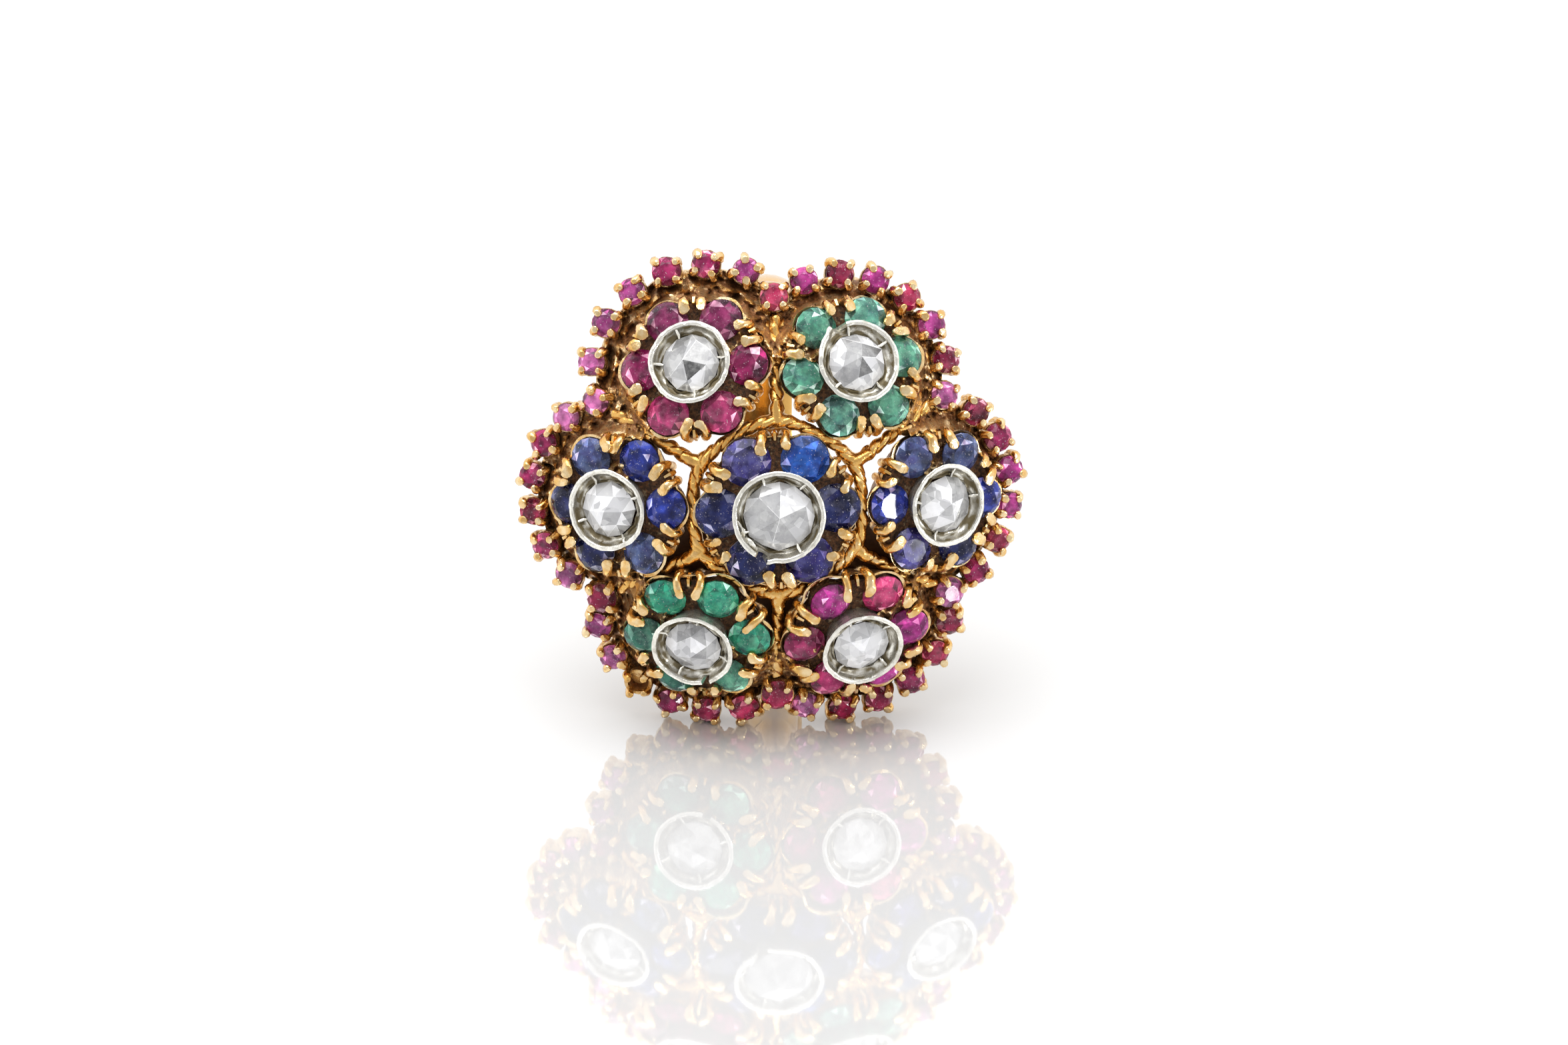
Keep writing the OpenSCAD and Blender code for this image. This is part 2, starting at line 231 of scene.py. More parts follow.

# the gold's looks: patina in the open, patina and painted shade where sheltered, roughness, share that
# rubbing takes away, reach of the shelter in millimetres, blotches, depth of colour
GOLDS = {
    "polished_gold": (0.0, 0.45, 0.14, 0.0, 1.2, 0.15, 0.8),
    "shaded_shoulder_gold": (0.85, 0.45, 0.14, 0.85, 1.2, 0.15, 1.4),
    "sheltered_gold": (0.90, 0.55, 0.22, 0.5, 0.6, 1.3, 0.4),
    "claw_gold": (0.90, 0.35, 0.16, 1.0, 0.7, 0.8, 0.6),
    "sheet_gold": (0.80, 0.3, 0.25, 0.6, 1.0, 1.0, 0.0),
    "wire_gold": (0.80, 0.9, 0.15, 0.9, 0.5, 1.0, 1.1),
    # shadowed_gold is brown all over, with a wide shelter: painted shade
    "shadowed_gold": (1.0, 0.6, 0.25, 0.0, 4.0, 0.4, 0.0),
    "folded_gold": (0.80, 0.5, 0.2, 0.6, 0.6, 1.2, 0.5),
}

# the stones' refraction, and how hazy each kind is
STONE_INDEX = 1.35
HAZE = {"border_ruby": 0.12, "ruby": 0.12, "emerald": 0.40, "sapphire": 0.10}

# the camera: degrees right of the front and above the floor, metres away, and the point it aims at, in
# millimetres right of and below the centre flower
CAMERA_AZIMUTH = -2
CAMERA_ELEVATION = 26
CAMERA_DISTANCE = 0.330
CAMERA_RIGHT = 0.34
CAMERA_DOWN = 0.67

# strength of the white room's light
ROOM_LIGHT = 1.23


def polar(r, a, z=0.0):
    a = math.radians(a)
    return Vector((r * math.cos(a), r * math.sin(a), z))


def azimuth_of(point):
    return math.degrees(math.atan2(point.y, point.x))


def turned(angle, axis):
    return Matrix.Rotation(math.radians(angle), 4, axis)


def held(value):
    """The value, held between 0 and 1."""
    return min(1.0, max(0.0, value))


def sizes():
    return bpy.context.scene.ring_sizes


def colours():
    return bpy.context.scene.ring_colours


def mm(length):
    """A property's length in millimetres."""
    return length / MM

# Keeps a painted brightness in each facet, as its reflection: what the light picks out, and any of a few
# elsewhere.

def flower_size(i, name):
    """A flower's size in millimetres. The centre flower has its own."""
    return mm(getattr(sizes(), "centre_" + name if i == CENTRE else name))


def head_place():
    """The head's own frame, in millimetres: X right, Y up the head, Z out of its face."""
    s = sizes()
    depth = mm(s.hoop_depth)
    height = depth * math.sin(s.lean) + mm(s.finger_diameter) / 2 + mm(s.band_thickness)
    middle = Vector((mm(s.centre_x), mm(s.centre_y), height))
    return Matrix.Scale(MM, 4) @ Matrix.Translation(middle) @ Matrix.Rotation(math.pi / 2 - s.lean, 4, "X")


def tilted(azimuth, tilt):
    """A tilt away from the head's axis, towards an azimuth."""
    return turned(azimuth, "Z") @ turned(tilt, "Y") @ turned(-azimuth, "Z")


def flower_place(i):
    azimuth, distance = FLOWERS[i][:2]
    if i == CENTRE:
        return Matrix.Identity(4)
    s = sizes()
    at = polar(distance, azimuth, -mm(s.flower_drop))
    return Matrix.Translation(at) @ tilted(azimuth, math.degrees(s.flower_tilt))


def into_flowers():
    """For each outer flower, the turn from the head's frame into its own."""
    return [flower_place(i).inverted() for i in range(CENTRE)]


def stone_drop(r):
    """Depth of the border stones below the centre flower, at a distance from the head's axis."""
    return BORDER_DROP + BORDER_SLOPE * (r - BORDER_DISTANCE)


def plate_z(r):
    return -stone_drop(r) - PLATE_DROP


def settings():
    """Every border setting: place in the head's frame, stone diameter, turn, present, tone."""
    found = []
    for (azimuth, distance, row, step), notch, stones in zip(LOBES, NOTCHES, STONES):
        for j, (diameter, turn, present, tone) in enumerate(stones):
            if j < ROW_SETTINGS:
                at = polar(distance, azimuth) + polar(row, azimuth + (j - (ROW_SETTINGS - 1) / 2) * step)
            else:
                at = polar(notch[1], notch[0])
            at.z = -stone_drop(at.xy.length)
            place = Matrix.Translation(at) @ tilted(azimuth_of(at), BORDER_TILT)
            found.append((place, diameter, turn, present, tone))
    return found


def basket_r(i):
    """Radius of a basket's rim, just inside the outer edge of its petals."""
    return FLOWERS[i][2] + flower_size(i, "petal") / 2 - 0.04


def basket_reach(i, rim, up):
    """Radius of a basket's wall, where up is 0 at the foot and 1 at the rim."""
    foot = basket_r(i) - BASKET_PULL
    return foot + (rim - foot) * up ** BASKET_CURVE


# Shaping

def smooth_path(points, steps, closed=False):
    """A smooth line through a few points."""
    points = [Vector(p) for p in points]
    n = len(points)
    found = []
    for k in range(n if closed else n - 1):
        if closed:
            a, b, c, d = (points[(k + j - 1) % n] for j in range(4))
        else:
            a, b, c, d = points[max(k - 1, 0)], points[k], points[k + 1], points[min(k + 2, n - 1)]
        for j in range(steps):
            t = j / steps
            found.append(0.5 * ((2 * b) + (c - a) * t + (2 * a - 5 * b + 4 * c - d) * t * t
                                + (3 * b - a - 3 * c + d) * t ** 3))
    if not closed:
        found.append(points[-1])
    return found


def smooth_values(values, steps):
    """Numbers that go with the points of an open smooth_path."""
    found = []
    for a, b in zip(values, values[1:]):
        found += [a + (b - a) * j / steps for j in range(steps)]
    return found + [values[-1]]


def ways_at(points, k, upright, closed):
    """The way along a line at one of its points, and the two ways across it."""
    n = len(points)
    if closed:
        along = points[(k + 1) % n] - points[k - 1]
    else:
        along = points[min(k + 1, n - 1)] - points[max(k - 1, 0)]
    along.normalize()
    side = along.cross(upright).normalized()
    return along, side, side.cross(along)


def tube(points, radii, sides, upright, squash=1.0, closed=False):
    """A bar of round or flattened section along a line."""
    part = bmesh.new()
    places = []
    for k, p in enumerate(points):
        along, side, up = ways_at(points, k, upright, closed)
        r = radii[k] if isinstance(radii, list) else radii
        flat = squash[k] if isinstance(squash, list) else squash
        place = Matrix((side * r, up * r * flat, along * r)).transposed().to_4x4()
        place.translation = p
        places.append(place)
    if closed:
        places.append(places[0])
    bmesh.ops.create_circle(part, cap_ends=False, segments=sides, radius=1.0, matrix=places[0])
    edges = list(part.edges)
    for before, place in zip(places, places[1:]):
        made = bmesh.ops.extrude_edge_only(part, edges=edges)["geom"]
        verts = [g for g in made if isinstance(g, bmesh.types.BMVert)]
        fresh = set(verts)
        edges = [g for g in made if isinstance(g, bmesh.types.BMEdge) and fresh.issuperset(g.verts)]
        bmesh.ops.transform(part, matrix=place @ before.inverted(), verts=verts)
    if closed:
        bmesh.ops.remove_doubles(part, verts=part.verts, dist=1e-5)
    else:
        bmesh.ops.holes_fill(part, edges=[e for e in part.edges if e.is_boundary], sides=sides)
    bmesh.ops.recalc_face_normals(part, faces=part.faces)
    return part


def lathe(profile, steps, angle=360.0, closed_profile=False):
    """A turned shape from a profile of radius and height."""
    part = bmesh.new()
    verts = [part.verts.new((r, 0.0, z)) for r, z in profile]
    pairs = list(zip(verts, verts[1:]))
    if closed_profile:
        pairs.append((verts[-1], verts[0]))
    edges = [part.edges.new(pair) for pair in pairs]
    bmesh.ops.spin(part, geom=verts + edges, cent=(0, 0, 0), axis=(0, 0, 1), dvec=(0, 0, 0),
                   angle=math.radians(angle), steps=steps, use_merge=angle >= 360, use_duplicate=False)
    bmesh.ops.remove_doubles(part, verts=part.verts, dist=1e-5)
    bmesh.ops.recalc_face_normals(part, faces=part.faces)
    return part


def disc(inner, outer, rows, z, steps, angle=360.0):
    """A flat ring, or a sector of one, in rows of faces."""
    return lathe([(inner + (outer - inner) * k / rows, z) for k in range(rows + 1)], steps, angle)


def thicken(part, thickness):
    """Gives a sheet its thickness."""
    bmesh.ops.solidify(part, geom=part.faces[:], thickness=thickness)
    bmesh.ops.recalc_face_normals(part, faces=part.faces)


def roughen(part, amount, scale, seed):
    """Hand-worked unevenness: moves each point a little along its normal."""
    offset = Vector((seed * 7.13, seed * 3.7, seed * 1.9))
    part.normal_update()
    for v in part.verts:
        v.co += v.normal * amount * noise.noise(v.co * scale + offset)


def mark(part, polish):
    """Keeps a polish value, 0 to 1, in every point: a number or a function of the point."""
    layer = part.verts.layers.float.new("polish")
    for v in part.verts:
        v[layer] = polish(v.co) if callable(polish) else polish


def paint(part, colour, spread, rng):
    """Keeps a colour in each face: lighter or darker from one facet to the next, as painted reflections
    from inside the stone, and a few pale ones, as painted glints.
    """
    layer = part.loops.layers.float_color.new("tone")
    table = max(part.faces, key=lambda f: f.calc_center_median().z)
    for f in part.faces:
        # painted reflections: each facet lighter or darker
        k = rng.triangular(1.0 - 2.2 * spread, 1.0 + 1.6 * spread, 0.8)
        veil = 0.0
        if f == table:
            k = 1.0
        # painted glints: a few pale facets
        elif rng.random() < 0.17:
            k = rng.uniform(1.4, 2.2)
            veil = rng.choice((0.05, 0.12, 0.25, 0.40, 0.75))
        for loop in f.loops:
            loop[layer] = (*(c * k + veil for c in colour), 1.0)


def hull(points):
    """The cut stone whose corners are these points."""
    part = bmesh.new()
    verts = [part.verts.new(p) for p in points]
    made = bmesh.ops.convex_hull(part, input=verts, use_existing_faces=False)
    loose = [g for g in made["geom_interior"] + made["geom_unused"] if isinstance(g, bmesh.types.BMVert)]
    bmesh.ops.delete(part, geom=list(set(loose)), context="VERTS")
    bmesh.ops.dissolve_limit(part, angle_limit=math.radians(1.2), verts=part.verts, edges=part.edges)
    bmesh.ops.recalc_face_normals(part, faces=part.faces)
    return part


class Piece:
    """A piece of the ring, gathered from parts that are each made in their own place."""

    def __init__(self, layer):
        self.mesh = bmesh.new()
        if layer == "polish":
            self.mesh.verts.layers.float.new(layer)
        else:
            self.mesh.loops.layers.float_color.new(layer)

    def add(self, part, place=Matrix.Identity(4), polish=None, rough=None):
        """Adds a part, after roughening it by an amount, a scale and a seed, and marking its polish."""
        if rough:
            roughen(part, *rough)
        if polish is not None:
            mark(part, polish)
        part.transform(place)
        kept = bpy.data.meshes.new("part")
        part.to_mesh(kept)
        part.free()
        self.mesh.from_mesh(kept)
        bpy.data.meshes.remove(kept)

    def finish(self, name, finish, slot, replaces, sharp=40.0, flat=False):
        self.mesh.transform(head_place())
        for f in self.mesh.faces:
            f.smooth = not flat
        limit = math.radians(sharp)
        for e in self.mesh.edges:
            if len(e.link_faces) == 2 and e.calc_face_angle(0) > limit:
                e.smooth = False
        data = bpy.data.meshes.new(name)
        self.mesh.to_mesh(data)
        self.mesh.free()
        data.materials.append(finish)
        made = bpy.data.objects.new(name, data)
        bpy.context.scene.collection.objects.link(made)
        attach(made, "root")
        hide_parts(*replaces)

    def finish_gold(self, name, look, sharp=40.0):
        self.finish(name, gold_finish(look, *GOLDS[look]), "yellow_gold", ["gold_frame"], sharp)


# Finishes

class Socket:
    """One output of a node, so that sums and products of outputs can be written as expressions."""

    def __init__(self, finish, out):
        self.finish = finish
        self.out = out

    def maths(self, operation, a, b):
        return self.finish.node("Math", {"operation": operation}, {0: a, 1: b})

    def __add__(self, other):
        return self.maths("ADD", self, other)

    def __radd__(self, other):
        return self.maths("ADD", other, self)

    def __sub__(self, other):
        return self.maths("SUBTRACT", self, other)

    def __rsub__(self, other):
        return self.maths("SUBTRACT", other, self)

    def __mul__(self, other):
        return self.maths("MULTIPLY", self, other)

    def __rmul__(self, other):
        return self.maths("MULTIPLY", other, self)

    def held(self):
        """Held between 0 and 1."""
        return self.finish.node("Clamp", {}, {"Value": self})


class Nodes:
    """A node tree, and the calls that add nodes to it."""

    def __init__(self, tree):
        self.tree = tree

    def node(self, kind, settings, sockets, out=0):
        made = self.tree.nodes.new("ShaderNode" + kind)
        for key, value in settings.items():
            setattr(made, key, value)
        for key, value in sockets.items():
            self.feed(made.inputs[key], value)
        return Socket(self, made.outputs[out])

    def feed(self, socket, value):
        if isinstance(value, Socket):
            self.tree.links.new(value.out, socket)
        else:
            socket.default_value = value

    def mix(self, factor, a, b, blend="MIX"):
        return self.node("Mix", {"data_type": "RGBA", "blend_type": blend}, {0: factor, 6: a, 7: b}, 2)

    def multiply(self, a, b):
        """The product of two colours."""
        return self.mix(1.0, a, b, "MULTIPLY")

    def step(self, value, low, high):
        """0 below low, 1 above high, and smooth between them."""
        return self.node("MapRange", {"interpolation_type": "SMOOTHSTEP"}, {0: value, 1: low, 2: high})


class Finish(Nodes):
    """A material and the nodes that make it."""

    def __init__(self, name):
        self.material = bpy.data.materials.new(name)
        self.material.use_nodes = True
        super().__init__(self.material.node_tree)
        self.shader = self.tree.nodes["Principled BSDF"]

    def set(self, **values):
        for key, value in values.items():
            self.feed(self.shader.inputs[key.replace("_", " ")], value)

    def where(self):
        return self.node("TexCoord", {}, {}, "Object")

    def noise(self, scale, detail, roughness):
        values = {"Vector": self.where(), "Scale": scale, "Detail": detail, "Roughness": roughness}
        return self.node("TexNoise", {}, values)

    def cells(self, scale, channel, settings={}, **values):
        """A random value for each cell of a scattered pattern."""
        values = {"Vector": self.where(), "Scale": scale, **values}
        return self.channel(self.node("TexVoronoi", settings, values, "Color"), channel)

    def channel(self, colour, name):
        return self.node("SeparateColor", {}, {"Color": colour}, name)

    def attribute(self, name, out="Fac"):
        return self.node("Attribute", {"attribute_name": name}, {}, out)

    def shelter(self, distance):
        """0 in the open, towards 1 in recesses."""
        return 1.0 - self.node("AmbientOcclusion", {"samples": 4}, {"Distance": distance}, "AO")

    def edges(self):
        """Above a half on sharp edges, below it in creases."""
        return self.node("NewGeometry", {}, {}, "Pointiness")

    def bump(self, height, strength, distance):
        return self.node("Bump", {}, {"Height": height, "Strength": strength, "Distance": distance})


def rgba(colour, k=1.0):
    return (colour[0] * k, colour[1] * k, colour[2] * k, 1.0)


def grey(value):
    return (value, value, value, 1.0)


def kept_finish(build):
    """Makes a finish once, and gives the same one to every piece that uses it."""
    def kept(name, *values):
        found = bpy.data.materials.get(name)
        if found:
            return found
        f = Finish(name)
        build(f, *values)
        return f.material
    return kept


@kept_finish
def gold_finish(f, brown, sheltered, roughness, polish_share, distance, blotchy, deep):
    """Yellow gold: brown patina as far as brown says, more where it is sheltered, less where rubbed. The
    sheltered share is patina and painted shade together, darkest deep in recesses.
    """
    c = colours()
    shelter = f.shelter(distance * MM)
    blotch = f.noise(1500.0, 3.0, 0.6)
    grain = f.noise(6500.0, 3.0, 0.65)
    rubbed = f.step(f.edges(), 0.50, 0.56)
    uneven = ((blotch - 0.5) * 1.4 + (grain - 0.5) * 0.8) * blotchy
    # patina and painted shade both grow where the gold is sheltered
    dirt_and_shade = brown + shelter * sheltered + uneven - rubbed * 0.7
    worn = f.step(blotch, 0.3, 0.7) + deep
    if polish_share:
        polish = f.attribute("polish")
        dirt_and_shade = dirt_and_shade - polish * polish_share
        worn = worn - polish * 0.7
    dirt_and_shade = f.step(dirt_and_shade, 0.10, 0.95)
    warm = f.mix(worn.held(), rgba(c.gold), rgba(c.gold_deep))
    # painted shade: deep in recesses the patina turns darker still
    dark = f.step(shelter, 0.35, 0.95)
    earth = f.mix(f.step(grain, 0.35, 0.65), rgba(c.patina, 0.6), rgba(c.patina, 1.8))
    patina = f.mix(dark, earth, rgba(c.patina, 0.30))
    f.set(Base_Color=f.mix(dirt_and_shade, warm, patina), Metallic=1.0 - dirt_and_shade * 0.5,
          Roughness=(roughness + dirt_and_shade * 0.20 + (grain - 0.5) * 0.15).held(),
          Normal=f.bump(grain * 0.6 + blotch, 0.45 * blotchy, 0.08 * MM))


@kept_finish
def stone_finish(f, haze):
    """A cut coloured stone, with painted reflections of its inner facets, clouded by a painted glow, hazed
    and specked.
    """
    tone = f.attribute("tone", "Color")
    cloud = f.noise(1500.0, 3.0, 0.65)
    veil = f.noise(700.0, 5.0, 0.75)
    specks = f.step(f.noise(10500.0, 1.0, 0.5), 0.67, 0.73)
    # painted reflections: cells and patches lighter and darker, as inner facets
    cells = f.cells(1900.0, "Red", {"feature": "SMOOTH_F1"}, Smoothness=0.6)
    inner = cells * 1.3 + f.step(f.noise(1250.0, 2.0, 0.5), 0.38, 0.64) * 1.2 - 0.05
    facets = f.mix(0.80 - haze, tone, f.multiply(tone, inner))
    deep = f.multiply(facets, (0.52, 0.36, 0.50, 1.0))
    lighter = f.multiply(facets, (1.45, 1.8, 1.55, 1.0))
    pale = f.mix(0.25, lighter, (0.56, 0.52, 0.56, 1.0))
    # painted glow: the stone darker and lighter in soft clouds
    clouded = f.mix(f.step(cloud, 0.30, 0.72), deep, facets)
    veiled = f.mix(f.step(veil, 0.46, 0.66) * (haze + 0.22), clouded, pale)
    f.set(Base_Color=f.mix(specks * 0.44, veiled, (0.8, 0.75, 0.8, 1.0)), IOR=STONE_INDEX,
          Roughness=0.06 + cloud * 0.06 + haze * 0.2, Transmission_Weight=0.12,
          Normal=f.bump(cloud, 0.10, 0.03 * MM))


@kept_finish
def white_metal_finish(f, tarnish):
    """Old silver or white gold: bright where it is rubbed, grey-brown where it is sheltered, that brown
    being tarnish and painted shade, darker deep in recesses.
    """
    c = colours()
    polish = f.attribute("polish")
    blotch = f.noise(2200.0, 3.0, 0.6)
    grain = f.noise(9000.0, 2.0, 0.6)
    shelter = f.shelter(0.8 * MM)
    # tarnish where unrubbed, and painted shade where sheltered; deep in recesses the painted shade darkens
    # further
    dirt_and_shade = ((1.0 - polish) * tarnish + (blotch - 0.5) * 1.5 + shelter * 0.25).held()
    tarnish_and_shade = f.mix(f.step(shelter, 0.35, 0.85), rgba(c.tarnish, 1.5), rgba(c.tarnish, 0.35))
    f.set(Base_Color=f.mix(dirt_and_shade, rgba(c.white_metal), tarnish_and_shade), Metallic=1.0 - dirt_and_shade * 0.7,
          Roughness=0.15 + dirt_and_shade * 0.3 + (grain - 0.5) * 0.1,
          Normal=f.bump(grain * 0.5 + blotch, 0.5, 0.05 * MM))


@kept_finish
def diamond_finish(f):
    """A clear stone with frosted patches, whose facets mirror the room and carry painted reflections,
    lighter and darker, with painted bright and dark shards inside.
    """
    cloud = f.noise(900.0, 4.0, 0.7)
    tone = f.attribute("tone", "Color")
    # painted reflections inside: lighter and darker cells, bright white shards and dark shards
    inner = f.cells(1300.0, "Green") * 0.45 + 0.72
    scratch = f.step(f.noise(4200.0, 4.0, 0.7), 0.58, 0.70)
    shard = f.cells(2300.0, "Red")
    clear = f.channel(tone, "Red").held()
    shaded = f.multiply(tone, inner.held())
    shaded = f.mix(f.step(shard, 0.80, 0.86) * clear * 0.65, shaded, grey(1.0))
    shaded = f.mix((1.0 - f.step(shard, 0.14, 0.20)) * clear * 0.50, shaded, (0.10, 0.10, 0.11, 1.0))
    frosted = f.mix(f.step(cloud, 0.42, 0.66) * 0.30 + scratch * 0.22, shaded, (0.70, 0.70, 0.68, 1.0))
    f.set(Base_Color=frosted, IOR=2.4, Specular_IOR_Level=0.40, Roughness=0.04 + cloud * 0.10,
          Normal=f.bump(f.noise(3500.0, 3.0, 0.6), 0.10, 0.02 * MM))


@kept_finish
def bed_finish(f):
    """The dark, grainy fill between the petals and the collet."""
    c = colours()
    grain = f.noise(5200.0, 4.0, 0.7)
    speck = (f.noise(3800.0, 2.0, 0.5) * 6.0 - 3.6).held()
    fill = f.mix(f.step(grain, 0.35, 0.7), rgba(c.patina, 0.12), rgba(c.patina, 1.0))
    f.set(Base_Color=f.mix(speck, fill, rgba(c.gold, 0.5)), Metallic=speck * 0.8,
          Roughness=0.75 - speck * 0.3, Normal=f.bump(grain, 0.9, 0.12 * MM))


@kept_finish
def floor_finish(f):
    """A pale, glossy floor."""
    shade = f.noise(3.0, 2.0, 0.5)
    f.set(Base_Color=f.mix(shade, grey(0.66), grey(0.68)), Roughness=0.035, IOR=2.7)


# Properties

def length(name, description, value):
    return bpy.props.FloatProperty(name=name, description=description, default=value * MM, unit="LENGTH",
                                   precision=5)


def angle(name, description, value):
    return bpy.props.FloatProperty(name=name, description=description, default=math.radians(value),
                                   subtype="ANGLE", unit="ROTATION")


def colour(name, description, value):
    return bpy.props.FloatVectorProperty(name=name, description=description, default=value, subtype="COLOR",
                                         min=0.0, max=1.0)


class RingSizes(bpy.types.PropertyGroup):
    """The sizes that a user of the ring would change"""
    lean: angle("Lean", "Lean of the head away from upright", 14)
    centre_x: length("Centre X", "The head's centre along X", 0.17)
    centre_y: length("Centre Y", "The head's centre along Y", -12.16)
    hoop_depth: length("Hoop depth", "Depth of the finger hole's centre behind the centre flower", 16.8)
    finger_diameter: length("Finger hole", "Inside diameter of the band", 18.0)
    band_thickness: length("Band thickness", "Thickness of the band at its crown", 1.5)
    band_width: length("Band width", "Width of the band", 3.4)
    petal: length("Petal stone", "Diameter of a petal stone of an outer flower", 2.42)
    centre_petal: length("Centre petal stone", "Diameter of a petal stone of the centre flower", 2.80)
    flower_tilt: angle("Flower tilt", "Outward tilt of the outer flowers", 27)
    flower_drop: length("Flower drop", "Depth of the outer flowers below the centre one", 1.95)
    claw: length("Petal claw", "Thickness of a flower's claws", 0.56)
    border_claw: length("Border claw", "Thickness of a border setting's claws", 0.46)
    collet: length("Collet", "Outer diameter of an outer collet's rim", 4.66)
    centre_collet: length("Centre collet", "Outer diameter of the centre collet's rim", 5.22)
    collet_rise: length("Collet rise", "Height of an outer collet's rim above the petals", 1.50)
    centre_collet_rise: length("Centre collet rise", "Height of the centre collet's rim above the petals",
                               1.90)
    diamond: length("Diamond", "Diameter of an outer rose-cut diamond", 3.36)
    centre_diamond: length("Centre diamond", "Diameter of the centre rose-cut diamond", 4.06)
    rope: length("Rope wire", "Thickness of the twisted wire of the web", 0.80)
    rope_pitch: length("Rope pitch", "Length of one full turn of the rope's strands", 1.70)


class RingColours(bpy.types.PropertyGroup):
    """The colours that a user of the ring would change"""
    gold: colour("Gold", "Polished yellow gold", (0.90, 0.71, 0.42))
    gold_deep: colour("Deep gold", "Worn yellow gold", (0.74, 0.43, 0.125))
    patina: colour("Patina", "Brown patina in the recesses", (0.21, 0.09, 0.032))
    white_metal: colour("White metal", "Rubbed rims of the collets", (0.93, 0.91, 0.83))
    tarnish: colour("Tarnish", "Tarnish inside the collets", (0.14, 0.11, 0.055))


# Pieces

def claw(points, radii, upright, seed, lean, sides, top):
    """One claw, along a few points from foot to tip, with a rounded tip and a top that is filed flat."""
    path = smooth_path(points, 3)
    thick = smooth_values(radii, 3)
    tip = path[-1]
    way = (tip - path[-2]).normalized()
    r = thick[-1]
    for step, share in ((0.35, 0.95), (0.66, 0.84), (0.90, 0.66), (1.06, 0.42), (1.12, 0.18)):
        path.append(tip + way * r * step)
        thick.append(r * share)
    part = tube(path, thick, sides, upright)
    roughen(part, amount=0.11, scale=1.9, seed=seed)
    filed = (UP + lean).normalized()
    limit = filed.dot(tip) + top
    for v in part.verts:
        v.co -= filed * max(0.0, filed.dot(v.co) - limit)
    return part


def band(hole, thick, half, opening):
    """The round band, flat inside and domed outside, with an opening in degrees."""
    wall = 0.62
    dome = 0.7
    rows = 9
    section = [(hole + 0.12, -half), (hole, -half + 0.25), (hole, half - 0.25), (hole + 0.12, half)]
    section.append((hole + wall, half + 0.02))
    for k in range(rows):
        x = half * math.cos(math.pi * (k + 0.5) / rows)
        section.append((hole + thick - dome * (x / half) ** 2, x))
    section.append((hole + wall, -half - 0.02))
    part = lathe(section, 108, 360 - opening, closed_profile=True)
    bmesh.ops.holes_fill(part, edges=[e for e in part.edges if e.is_boundary], sides=0)
    bmesh.ops.recalc_face_normals(part, faces=part.faces)
    return part


def shoulder(side):
    """The shoulder at the head's upper side, 1, or lower side, -1."""
    path = smooth_path([(0, side * (near + far) / 2, -down) for down, near, far, wide in SHOULDER], 3)
    halves = smooth_values([(far - near) / 2 for down, near, far, wide in SHOULDER], 3)
    widths = smooth_values([wide for down, near, far, wide in SHOULDER], 3)
    return tube(path, halves, 24, Vector((1, 0, 0)), [w / h for w, h in zip(widths, halves)])


class RING_OT_band(bpy.types.Operator):
    """Builds the plain band and its two shoulders"""
    bl_idname = "ring.band"
    bl_label = "Band"

    def execute(self, context):
        s = sizes()
        opening = 80
        part = band(mm(s.finger_diameter) / 2, mm(s.band_thickness), mm(s.band_width) / 2, opening)
        middle = Matrix.Translation((0, 0, -mm(s.hoop_depth)))
        place = middle @ turned(90, "Y") @ turned(180 + opening / 2, "Z")
        piece = Piece("polish")
        piece.add(part, place, polish=1.0, rough=(0.03, 0.6, 3))
        piece.finish_gold("band", "polished_gold", 50)
        piece = Piece("polish")
        # painted shade: the lower shoulder is left browner near the head, whose shadow falls on it
        piece.add(shoulder(-1), polish=lambda co: held((-co.z - 4.5) / 4.0), rough=(0.04, 0.8, 4))
        piece.add(shoulder(1), polish=1.0, rough=(0.04, 0.8, 6))
        piece.finish_gold("shoulders", "shaded_shoulder_gold", 50)
        return {"FINISHED"}


def outline_radius(azimuth):
    """How far the scalloped plate reaches from the head's axis."""
    way = polar(1, azimuth)
    best = 9.9
    for lobe_azimuth, distance, row, step in LOBES:
        middle = polar(distance, lobe_azimuth)
        along = middle.dot(way)
        across = (middle - way * along).length
        reach = row - 0.40
        if across < reach:
            best = max(best, along + math.sqrt(reach * reach - across * across))
    return best


def plate_relief(at, away):
    """Height of the plate's surface: a bank round each flower, waves beyond it, and ridges as on bark."""
    warp = 0.30 * noise.noise(at * 0.55) + 0.10 * noise.noise(at * 1.7)
    fold = 1.0 - 2.0 * abs(math.sin(math.pi * (away + warp) / 0.95))
    bank = 1.15 * math.exp(-max(away, 0.0) / 0.55)
    waves = 0.24 * fold * math.exp(-max(away - 1.4, 0.0) / 1.2)
    ridges = 0.5 - abs(noise.noise(at * 1.7)) * 2.4 + 0.55 * (0.5 - abs(noise.noise(at * 3.9)) * 2.4)
    return bank + waves + 0.20 * noise.noise(at * 1.6) + 0.34 * ridges


